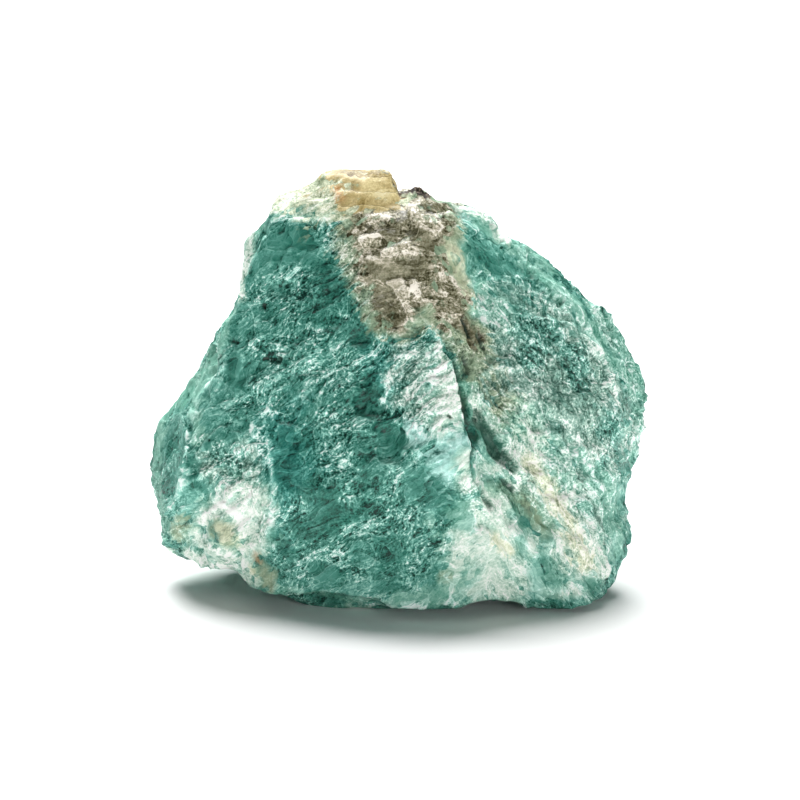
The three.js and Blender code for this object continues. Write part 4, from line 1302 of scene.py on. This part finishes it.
class Paint:
    """The stone's colour, roughness and finest relief, mineral over mineral, with painted light and shade on
    edges, steps, rims and cracks.
    """

    deep_hides: float = 0.85  # how much of the albite and the grain deep parts hide
    surround_ragged: float = 3.0
    surround_soft: float = 0.5

    def __init__(self, nodes: PaintNodes, finish: AmazoniteFinish) -> None:
        """Lays the minerals in the order in which they cover each other.

        Args:
            nodes: the material's nodes.
            finish: the colours and the tones.
        """
        self.nodes = nodes
        self.crystal = Crystal(nodes, nodes.attribute(CRYSTAL, vector=True))
        self.specks = nodes.noise(nodes.place, SPECKS) - 0.5
        self.tilt, own = self.crystal.small_faces()
        self.own = own - 0.5
        self.large_own = self.crystal.large_faces()[1] - 0.5
        self.glints = nodes.facets(self.crystal.jagged, GLINTS)[1] - 0.5
        stone = finish.feldspar_tone
        self.dark = nodes.attribute(Growth.DEEP.value) + nodes.texture * stone.deep_clouds
        self.dark += self.own * stone.deep_faces
        self.deep = self.dark.rise(*stone.deep_range)
        self.haze_and_painted_light = nodes.inside(Growth.HAZE_AND_PAINTED_LIGHT, soft=1.2)
        self.veil = nodes.inside(Growth.VEIL, soft=1.4, ragged=3.0)
        self.grain = nodes.inside(Growth.GRAIN, soft=0.9)
        self.white = nodes.inside(Growth.ALBITE, soft=1.1)
        self.busy = self._busy(stone.busyness)
        self.tone = self._feldspar(stone)
        gloss = finish.gloss
        roughness = gloss.roughness + self.specks * gloss.speck_roughness + self.tone * gloss.pale_roughness
        self.roughness = roughness.larger(gloss.smoothest)
        self.colour = nodes.ramp(self.tone, *finish.teal)
        self._cover(Growth.BLUE, finish.blue, soft=1.4, share=0.6)
        self._cover(Growth.GRAIN, finish.grain, soft=0.9, share=0.9)
        self._cover(Growth.SAGE, finish.sage, soft=0.8, share=0.85)
        # on rims and thin edges the mint stands for light shining through the stone: painted light
        self._cover(Growth.MINT, finish.mint, soft=0.7, share=0.8)
        # lighter turquoise on faces that turn to the light: painted light
        self._cover(Growth.LIT_TURQUOISE, finish.lit_turquoise, soft=0.6, share=0.9)
        # a mint rim round the albite stands for light shining through the stone: painted light
        self._surround(Growth.ALBITE, finish.mint, reach=1.2, share=0.6)
        self._surround(Growth.SMOKY, finish.sage, reach=1.3, share=0.8)
        self._surround(Growth.HONEY, finish.cream, reach=1.6, share=0.95)
        self._cover(Growth.ALBITE, finish.albite, soft=1.1, share=0.9, roughness=0.55)
        self._cover(Growth.CREAM, finish.cream, soft=0.9, share=0.9, roughness=0.5)
        self.tone = self.tone.mixed(self._quartz(finish.quartz_tone), nodes.inside(Growth.SMOKY, soft=0.5))
        self._cover(Growth.SMOKY, finish.smoky, soft=0.5, share=1.0, roughness=0.26)
        self.tone = self.tone.mixed(self._cap(finish.cap_tone), nodes.inside(Growth.HONEY, soft=0.3))
        self._cover(Growth.HONEY, finish.honey, soft=0.3, share=1.0, roughness=0.45)
        # painted shade in the cracks, then a rust stain
        self._lay_flat_colour(Growth.SHADED_CRACK, finish.shaded_crack, soft=0.8, share=0.7)
        self._lay_flat_colour(Growth.RUST, finish.rust, soft=1.2, share=0.5)
        self.tone += nodes.grit * finish.mica_grit - finish.mica_shade
        self._cover(Growth.MICA, finish.mica, soft=0.5, share=0.97, roughness=0.7)
        fine = self.specks * gloss.speck_height + self.tilt * gloss.face_height
        self.height = nodes.texture * gloss.texture_height + fine * self.busy

    def _busy(self, weights: Busyness) -> Wire:
        """How strong the feldspar's fine patterns are."""
        busy = weights.least + self.nodes.patches * weights.patches + self.veil * weights.veil
        busy = (busy + self.grain * weights.grain + self.white * weights.white).smaller(weights.most)
        return busy * (1 - (self.deep + self.haze_and_painted_light) * weights.calm * (1 - self.grain))

    def _feldspar(self, weights: FeldsparTone) -> Wire:
        """How light the feldspar is, from 0 to 1."""
        nodes, lines = self.nodes, weights.lines
        tone = weights.plain + nodes.texture * (weights.clouds + self.grain * weights.grain_clouds)
        tone += self.large_own * weights.large_faces + self._fine(weights.fine) * self.busy
        shown = lines.everywhere + nodes.noise(nodes.place, LINES_SHOWN).rise(*nodes.patchy) * lines.patches
        tone += self._lines(lines) * shown * (lines.calm + self.busy * lines.busy)
        tone += self.white * weights.white + self.veil * weights.veil
        tone += (self.crystal.ledges() - 0.5) * weights.ledges * nodes.patches
        tone += (self.crystal.shells() - 0.5) * weights.shells
        tone += self.haze_and_painted_light * weights.haze_and_painted_light + self.deep * weights.deep
        return tone + self._edges(weights)

    def _fine(self, weights: FinePatterns) -> Wire:
        """The feldspar's fine patterns."""
        nodes, crystal = self.nodes, self.crystal
        crumbly = self.grain.larger(self.white)
        fibres = nodes.noise(crystal.jagged, FIBRES) - 0.5
        lace = nodes.cell_edges(crystal.jagged, LACE).rise(weights.lace_width, 0.0)
        fine = self.specks * (weights.specks + crumbly * weights.crumbly_specks)
        fine += fibres * (weights.fibres + crumbly * weights.crumbly_fibres)
        fine += self.glints * weights.glints + nodes.grit * weights.grit + self.own * weights.small_faces
        fine += self.specks.rise(*weights.spark_range) * weights.painted_sparkle
        fine += (crystal.striae() - 0.5) * weights.striae
        return fine + lace * (self.veil * weights.veil_lace + self.grain * weights.grain_lace)

    def _lines(self, weights: Lines) -> Wire:
        """The feldspar's thin lines: 1 on a line, 0 beside it. Those on the rims of shells, ledges, striae
        and faces are painted highlights.
        """
        nodes, crystal = self.nodes, self.crystal
        lines = crystal.shells().rise(weights.shell_start, 1.0)
        lines = lines.larger(crystal.ledges().rise(weights.ledge_start, 1.0))
        lines = lines.larger(nodes.noise(crystal.way, WISPS).rise(*weights.wisp_range) * weights.wisps)
        lines = lines.larger(nodes.cell_edges(crystal.jagged, LARGE_FACES).rise(weights.rim_width, 0.0))
        small_rims = nodes.cell_edges(crystal.jagged, SMALL_FACES).rise(weights.small_rim_width, 0.0)
        lines = lines.larger(small_rims * weights.small_rims)
        lines = lines.larger(crystal.striae().rise(weights.stria_start, 1.0) * weights.striae)
        level, width = weights.deep_rim
        return lines.larger(nodes.absolute(self.dark - level).rise(width, 0.0))

    def _quartz(self, weights: QuartzTone) -> Wire:
        """How light the quartz is, from 0 to 1."""
        nodes = self.nodes
        _, own, edge = nodes.quartz_chips()
        waves = nodes.noise(nodes.place, QUARTZ_WAVES)
        layer = nodes.fraction(nodes.dot(nodes.place, weights.layers) + waves * weights.layer_bend)
        streaks = nodes.noise(nodes.drift(nodes.place, STREAK_BENDS), STREAKS) - 0.5
        shown = nodes.noise(nodes.place, QUARTZ_SHOWN).rise(*weights.shown_range)
        deep = nodes.inside(Growth.DEEP, soft=0.6, ragged=3.0)
        shards = nodes.facets(nodes.drift(nodes.place, SHARD_BENDS), SHARDS)[1] - 0.5
        fine = self.specks * weights.specks + self.glints * weights.glints + shards * weights.shards
        tone = weights.plain + (own - 0.5) * weights.faces + (waves - 0.5) * weights.waves
        tone += streaks * weights.streaks + nodes.texture * weights.clouds + fine * (1 - deep * weights.calm)
        # painted highlights on the rims of the layers and the chips
        lines = layer.rise(weights.line_start, 1.0).larger(edge.rise(weights.rim_width, 0.0))
        tone += lines * shown * weights.lines + deep * weights.deep
        flake = nodes.attribute(Growth.FLAKE.value)
        flake += nodes.texture * weights.flake_clouds + self.own * weights.flake_faces
        tone += flake.rise(-weights.flake_border, weights.flake_border) * weights.flakes
        # a painted highlight on each flake's rim
        tone += nodes.absolute(flake).rise(weights.flake_rim_width, 0.0) * shown * weights.flake_rim_highlights
        return tone + self._edges(weights, soft=0.8, ragged=5.0)

    def _edges(self, weights: FeldsparTone | QuartzTone, soft: float = 1.0, ragged: float = 4.0) -> Wire:
        """What ridges, bright edges and cracks add to a tone: painted highlight on ridges and bright edges,
        painted shade in hollows and cracks. The borders given are those of the cracks.
        """
        bright = self.nodes.inside(Growth.THREAD, soft=1.0) * weights.threads
        dark = self.nodes.inside(Growth.SHADED_CRACK, soft, ragged) * weights.shaded_cracks
        return self.nodes.attribute(RIDGE) * weights.ridges + bright + dark

    def _cap(self, weights: CapTone) -> Wire:
        """How light the honey-coloured cap is, from 0 to 1."""
        nodes = self.nodes
        layer = nodes.bedding()
        tone = weights.plain + nodes.texture * weights.clouds + self.large_own * weights.large_faces
        tone += self.specks * weights.specks + (layer - 0.5) * weights.layers
        # painted highlight on each rim and painted shade just below it
        tone += layer.rise(weights.rim_start, 1.0) * weights.rim_highlights
        tone += layer.rise(weights.shade_end, 0.0) * weights.shade_below_rims
        haze_and_painted_light, deep = (nodes.inside(growth, soft=1.0) for growth in (Growth.HAZE_AND_PAINTED_LIGHT, Growth.DEEP))
        return tone + haze_and_painted_light * weights.haze_and_painted_light + deep * weights.deep

    def _cover(
        self, growth: Growth, shades: Shades, soft: float, share: float, roughness: float | None = None
    ) -> None:
        """Covers what is there with a mineral, where it grew.

        Args:
            growth: the mineral.
            shades: its colours.
            soft: how soft its border is.
            share: how much of what is under it it hides.
            roughness: its roughness, where it isn't the feldspar's.
        """
        mask = self.nodes.inside(growth, soft) * share
        if growth in {Growth.ALBITE, Growth.GRAIN}:
            mask *= 1 - self.nodes.inside(Growth.DEEP, soft=0.5) * self.deep_hides
        self.colour = self.colour.mixed(self.nodes.ramp(self.tone, *shades), mask)
        if roughness is not None:
            self.roughness = self.roughness.mixed(roughness, mask)

    def _surround(self, growth: Growth, shades: Shades, reach: float, share: float) -> None:
        """Covers the surroundings of a mineral, as far out as a share of its strokes' radii."""
        level = self.nodes.attribute(growth.value) + self.nodes.border * self.surround_ragged + reach
        mask = level.rise(-self.surround_soft, self.surround_soft) * share
        self.colour = self.colour.mixed(self.nodes.ramp(self.tone, *shades), mask)

    def _lay_flat_colour(self, growth: Growth, code: str, soft: float, share: float) -> None:
        """Lays a flat colour over what is there: rust stains, and painted shade in the cracks."""
        self.colour = self.colour.mixed(colour(code), self.nodes.inside(growth, soft) * share)


# ------------------------------------------------------------------ the stone


@dataclass
class Stone:
    """The stone's skin: a fine mesh over the frame's solid, marked with what grew where."""

    node: str
    levels: int = 2  # subdivisions: 8,000 triangles become 192,000
    weld: float = 0.001  # corners this near each other are one, in millimetres
    soft_below: float = 18.0  # edges flatter than this many degrees are rounded off
    crisp_above: float = 42.0  # and edges sharper than this stay crisp
    seam: tuple[tuple[float, float], ...] = (  # the heights and places across of the seam of the green masses
        (0.0, 11.5),
        (10.0, 10.5),
        (20.0, 8.4),
        (32.0, 8.0),
        (38.0, 3.5),
        (52.0, 2.0),
    )
    seam_width: float = 4.0  # one relief goes over into the other in this width
    seam_wave: float = 1.7  # the seam's bends, one millimetre deep, are 2 pi times this long
    # How the grain of each crystal lies: along it, and across it.
    main_grain: tuple[Place, Place] = ((0.77, 0.0, 0.64), (-0.62, 0.15, 0.77))
    right_grain: tuple[Place, Place] = ((0.5, 0.1, -0.86), (0.85, 0.12, 0.5))
    relief: Relief = field(default_factory=Relief)
    finish: AmazoniteFinish = field(default_factory=AmazoniteFinish)

    def build(self, source: bpy.types.Object, eye: Vector) -> bpy.types.Object:
        """Builds the skin.

        Args:
            source: the frame's solid.
            eye: the camera's place, in millimetres.

        Returns:
            The finished object.
        """
        smooth = self._subdivided(source)
        self._mark(smooth.data, eye)
        return self._broken(smooth)

    def _subdivided(self, source: bpy.types.Object) -> bpy.types.Object:
        """A welded copy of the solid, subdivided, with its sharp edges kept crisp."""
        shape = bmesh.new()
        shape.from_mesh(source.data)
        bmesh.ops.remove_doubles(shape, verts=shape.verts, dist=self.weld * MM)
        crease = shape.edges.layers.float.new("crease_edge")
        for edge in shape.edges:
            degrees = math.degrees(edge.calc_face_angle(0.0))
            share = (degrees - self.soft_below) / (self.crisp_above - self.soft_below)
            edge[crease] = min(1.0, max(0.0, share))
        mesh = bpy.data.meshes.new("skin")
        shape.to_mesh(mesh)
        shape.free()
        skin = bpy.data.objects.new("skin", mesh)
        bpy.context.scene.collection.objects.link(skin)
        finer = skin.modifiers.new("finer", "SUBSURF")
        finer.levels = self.levels
        finer.render_levels = self.levels
        return self._applied(skin)

    @staticmethod
    def _applied(piece: bpy.types.Object) -> bpy.types.Object:
        """Makes the result of a piece's modifiers its own plain mesh."""
        shown = piece.evaluated_get(bpy.context.evaluated_depsgraph_get())
        mesh = bpy.data.meshes.new_from_object(shown)
        piece.modifiers.clear()
        piece.data = mesh
        return piece

    def _mark(self, mesh: bpy.types.Mesh, eye: Vector) -> None:
        """Writes where each growth is, and each crystal's own places, on the mesh."""
        places = vertex_places(mesh)
        faces = [polygon.vertices[:] for polygon in mesh.polygons]
        strokes = Strokes(BVHTree.FromPolygons([Vector(place) for place in places], faces), eye)
        for growth in Growth:
            write_attribute(mesh, growth.value, strokes.levels(growth, places))
        self._mark_crystals(mesh, places)

    def _mark_crystals(self, mesh: bpy.types.Mesh, places: np.ndarray) -> None:
        """Writes the places along, across and through the grain of each crystal, and of each face's own."""
        heights, across = zip(*self.seam, strict=True)
        seam = np.interp(places[:, 2], heights, across) - np.sin(places[:, 2] / self.seam_wave)
        beyond = places[:, 0] - seam
        write_attribute(mesh, RIGHT_SHARE, np.clip(0.5 + beyond / self.seam_width, 0, 1))
        ways = [places @ turn(*grain).T for grain in (self.main_grain, self.right_grain)]
        for name, way in zip((MAIN_WAY, RIGHT_WAY), ways, strict=True):
            write_attribute(mesh, name, way)
        corners = np.zeros(len(mesh.loops), np.int32)
        mesh.loops.foreach_get("vertex_index", corners)
        sizes = np.zeros(len(mesh.polygons), np.int32)
        mesh.polygons.foreach_get("loop_total", sizes)
        face = np.repeat(np.arange(len(sizes)), sizes)
        right = (np.bincount(face, beyond[corners]) > 0)[face]
        own = np.where(right[:, None], ways[1][corners], ways[0][corners])
        write_attribute(mesh, OWN_WAY, own, "CORNER")

    def _broken(self, skin: bpy.types.Object) -> bpy.types.Object:
        """Breaks the surface, and marks its ridges and hollows."""
        tree = self.relief.build()
        breaker = skin.modifiers.new("broken surface", "NODES")
        breaker.node_group = tree
        inputs = {item.name: item.identifier for item in tree.interface.items_tree if item.in_out == "INPUT"}
        for part in self.relief.breaks():
            breaker[inputs[part.name]] = part.height
        breaker[inputs["Material"]] = self.finish.build()
        skin = self._applied(skin)
        places = vertex_places(skin.data)
        places[:, 2] = np.maximum(places[:, 2], 0.0)
        skin.data.vertices.foreach_set("co", (places * MM).astype(np.float32).ravel())
        skin.data.shade_smooth()
        skin.data.set_sharp_from_angle(angle=math.radians(self.crisp_above))
        skin.data.update()
        write_attribute(skin.data, RIDGE, ridges(skin.data))
        return skin


@dataclass
class Strokes:
    """Strokes laid on the stone's surface."""

    surface: BVHTree  # in millimetres
    eye: Vector
    reach: float = 120.0  # farther than the stone's far side, in millimetres
    outside: float = -3.0  # the level far from every stroke

    def levels(self, growth: Growth, places: np.ndarray) -> np.ndarray:
        """How far inside a growth's strokes each place is.

        Args:
            growth: which growth.
            places: the places, in millimetres.

        Returns:
            1 on the middle of a stroke, 0 at its radius, and less farther out, down to the outside level.
        """
        level = np.full(len(places), self.outside)
        for side, strokes in STROKES.get(growth, {}).items():
            for points in strokes:
                laid = [np.array(self._laid(side, across, up)) for across, up, _ in points]
                radii = [radius for _, _, radius in points]
                if len(points) == 1:
                    laid, radii = laid * 2, radii * 2
                for ends, sizes in zip(pairwise(laid), pairwise(radii), strict=True):
                    np.maximum(level, self._segment(places, ends, sizes), out=level)
        return level

    def _laid(self, side: Side, across: float, up: float) -> Vector:
        """The place on the surface that a stroke's point is laid on."""
        start, aim = {
            Side.FRONT: (self.eye, Vector((across, 0, up)) - self.eye),
            Side.BACK: (Vector((across, self.reach, up)), Vector((0, -1, 0))),
            Side.LEFT: (Vector((-self.reach, across, up)), Vector((1, 0, 0))),
            Side.RIGHT: (Vector((self.reach, across, up)), Vector((-1, 0, 0))),
            Side.TOP: (Vector((across, up, self.reach)), Vector((0, 0, -1))),
            Side.UNDER: (Vector((across, up, -self.reach)), Vector((0, 0, 1))),
        }[side]
        hit = self.surface.ray_cast(start, aim.normalized())[0]
        if hit is None:  # the point is beside the stone
            beside = start + aim.normalized() * (aim.length if side is Side.FRONT else self.reach)
            hit = self.surface.find_nearest(beside)[0]
        return hit

    @staticmethod
    def _segment(places: np.ndarray, ends: Sequence[np.ndarray], radii: Sequence[float]) -> np.ndarray:
        """The level of each place for one straight piece of a stroke."""
        line = ends[1] - ends[0]
        length = float(line @ line)
        along = np.clip((places - ends[0]) @ line / length, 0, 1) if length > 0 else np.zeros(len(places))
        distance = np.linalg.norm(places - ends[0] - along[:, None] * line, axis=1)
        radius = radii[0] + along * (radii[1] - radii[0])
        return 1 - distance / radius


def turn(along: Place, across: Place) -> np.ndarray:
    """The turn that takes a place to its distances along, across and through a grain."""
    first = np.array(along) / np.linalg.norm(along)
    third = np.cross(first, across)
    third /= np.linalg.norm(third)
    return np.array([first, np.cross(third, first), third])


def vertex_places(mesh: bpy.types.Mesh) -> np.ndarray:
    """The places of a mesh's corners, in millimetres."""
    flat = np.zeros(len(mesh.vertices) * 3, np.float32)
    mesh.vertices.foreach_get("co", flat)
    return flat.reshape(-1, 3).astype(float) / MM


def write_attribute(mesh: bpy.types.Mesh, name: str, values: np.ndarray, domain: str = "POINT") -> None:
    """Writes a number or a vector on each point or corner of a mesh."""
    vector = values.ndim == 2
    attribute = mesh.attributes.new(name, "FLOAT_VECTOR" if vector else "FLOAT", domain)
    attribute.data.foreach_set("vector" if vector else "value", values.astype(np.float32).ravel())


def ridges(mesh: bpy.types.Mesh, strength: float = 2.2) -> np.ndarray:
    """How sharp each corner's ridge or hollow is.

    Args:
        mesh: the broken skin.
        strength: how soon a bend counts as sharp.

    Returns:
        1 on a sharp ridge, 0 on a flat face, -1 in a sharp hollow.
    """
    places = vertex_places(mesh)
    normals = np.zeros(len(places) * 3, np.float32)
    mesh.vertex_normals.foreach_get("vector", normals)
    normals = normals.reshape(-1, 3)
    pairs = np.zeros(len(mesh.edges) * 2, np.int32)
    mesh.edges.foreach_get("vertices", pairs)
    first, second = pairs.reshape(-1, 2).T
    count = np.bincount(pairs, minlength=len(places))
    edges = places[second] - places[first]
    edges /= np.linalg.norm(edges, axis=1)[:, None]
    drop = -np.einsum("ij,ij->i", edges, normals[first])
    back_drop = np.einsum("ij,ij->i", edges, normals[second])
    bend = np.bincount(first, drop, len(places)) + np.bincount(second, back_drop, len(places))
    bend /= count
    around = np.bincount(first, bend[second], len(places)) + np.bincount(second, bend[first], len(places))
    return np.clip(strength * (bend + around / count) / 2, -1, 1)


# ------------------------------------------------------------------ the studio


@dataclass(frozen=True)
class Studio:
    """A pale floor, soft light and the camera."""

    target: Place = (0.3, 0.0, 23.05)  # what the camera looks at, in millimetres
    distance: float = 269.4
    elevation: float = 12.0
    lens: float = 100.0
    nearest: float = 10.0  # anything nearer to the camera isn't seen
    floor_reach: float = 9000.0
    floor_colour: Place = (0.93, 0.93, 0.93)
    floor_roughness: float = 0.9
    floor_reflection: float = 0.1
    sky: float = 0.08
    sun: float = 7.0
    sun_from: Place = (-0.1, 0.5, 0.86)
    sun_distance: float = 1000.0
    sun_spread: float = 48.0  # degrees across
    panel: float = 0.74
    panel_from: Place = (0.42, -0.88, 0.12)
    panel_distance: float = 450.0
    panel_size: float = 200.0

    @property
    def eye(self) -> Vector:
        """The camera's place, in millimetres."""
        angle = math.radians(self.elevation)
        return Vector(self.target) + self.distance * Vector((0, -math.cos(angle), math.sin(angle)))

    def build(self) -> None:
        """Builds the floor, the lights and the camera."""
        self._camera()
        self._floor()
        self._lights()

    def _camera(self) -> None:
        """The camera, level, looking down at the stone."""
        data = bpy.data.cameras.new("camera")
        data.lens = self.lens
        data.clip_start = self.nearest * MM
        camera = bpy.data.objects.new("camera", data)
        camera.location = self.eye * MM
        camera.rotation_euler = (math.radians(90 - self.elevation), 0, 0)
        bpy.context.scene.collection.objects.link(camera)
        bpy.context.scene.camera = camera

    def _floor(self) -> None:
        """A white floor that fills the view."""
        reach = self.floor_reach * MM
        mesh = bpy.data.meshes.new("floor")
        corners = [(-reach, -reach, 0), (reach, -reach, 0), (reach, reach, 0), (-reach, reach, 0)]
        mesh.from_pydata(corners, [], [(0, 1, 2, 3)])
        material = bpy.data.materials.new("floor")
        material.use_nodes = True
        shader = material.node_tree.nodes["Principled BSDF"]
        shader.inputs["Base Color"].default_value = (*self.floor_colour, 1)
        shader.inputs["Roughness"].default_value = self.floor_roughness
        shader.inputs["Specular IOR Level"].default_value = self.floor_reflection
        mesh.materials.append(material)
        floor = bpy.data.objects.new("floor", mesh)
        bpy.context.scene.collection.objects.link(floor)

    def _lights(self) -> None:
        """A white sky, a soft sun from above and behind, and a panel in front."""
        world = bpy.data.worlds.new("sky")
        world.use_nodes = True
        background = world.node_tree.nodes["Background"]
        background.inputs["Color"].default_value = (1, 1, 1, 1)
        background.inputs["Strength"].default_value = self.sky
        scene = bpy.context.scene
        scene.world = world
        scene.view_settings.view_transform = "Standard"
        sun = bpy.data.lights.new("sun", "SUN")
        sun.energy = self.sun
        sun.angle = math.radians(self.sun_spread)
        self._aim(sun, self.sun_from, self.sun_distance)
        panel = bpy.data.lights.new("panel", "AREA")
        panel.energy = self.panel
        panel.size = self.panel_size * MM
        self._aim(panel, self.panel_from, self.panel_distance)

    def _aim(self, light: bpy.types.Light, side: Place, distance: float) -> None:
        """Puts a light on a side of the stone, facing it."""
        lamp = bpy.data.objects.new(light.name, light)
        direction = Vector(side).normalized()
        lamp.location = (Vector(self.target) + direction * distance) * MM
        lamp.rotation_euler = direction.to_track_quat("Z", "Y").to_euler()
        bpy.context.scene.collection.objects.link(lamp)


# ------------------------------------------------------------------ the scene


def main() -> None:
    """Builds the scene and reports each piece."""
    logging.basicConfig(level=logging.INFO, format="%(message)s")
    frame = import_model()
    studio = Studio()
    studio.build()
    stone = Stone("amazonite")
    skin = stone.build(frame["nodes"][stone.node], studio.eye)
    skin.name = "amazonite_skin"
    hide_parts(stone.node)
    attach(skin, "root")
    LOG.info("%s: %d faces", skin.name, len(skin.data.polygons))
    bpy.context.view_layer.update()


if __name__ == "__main__":
    main()
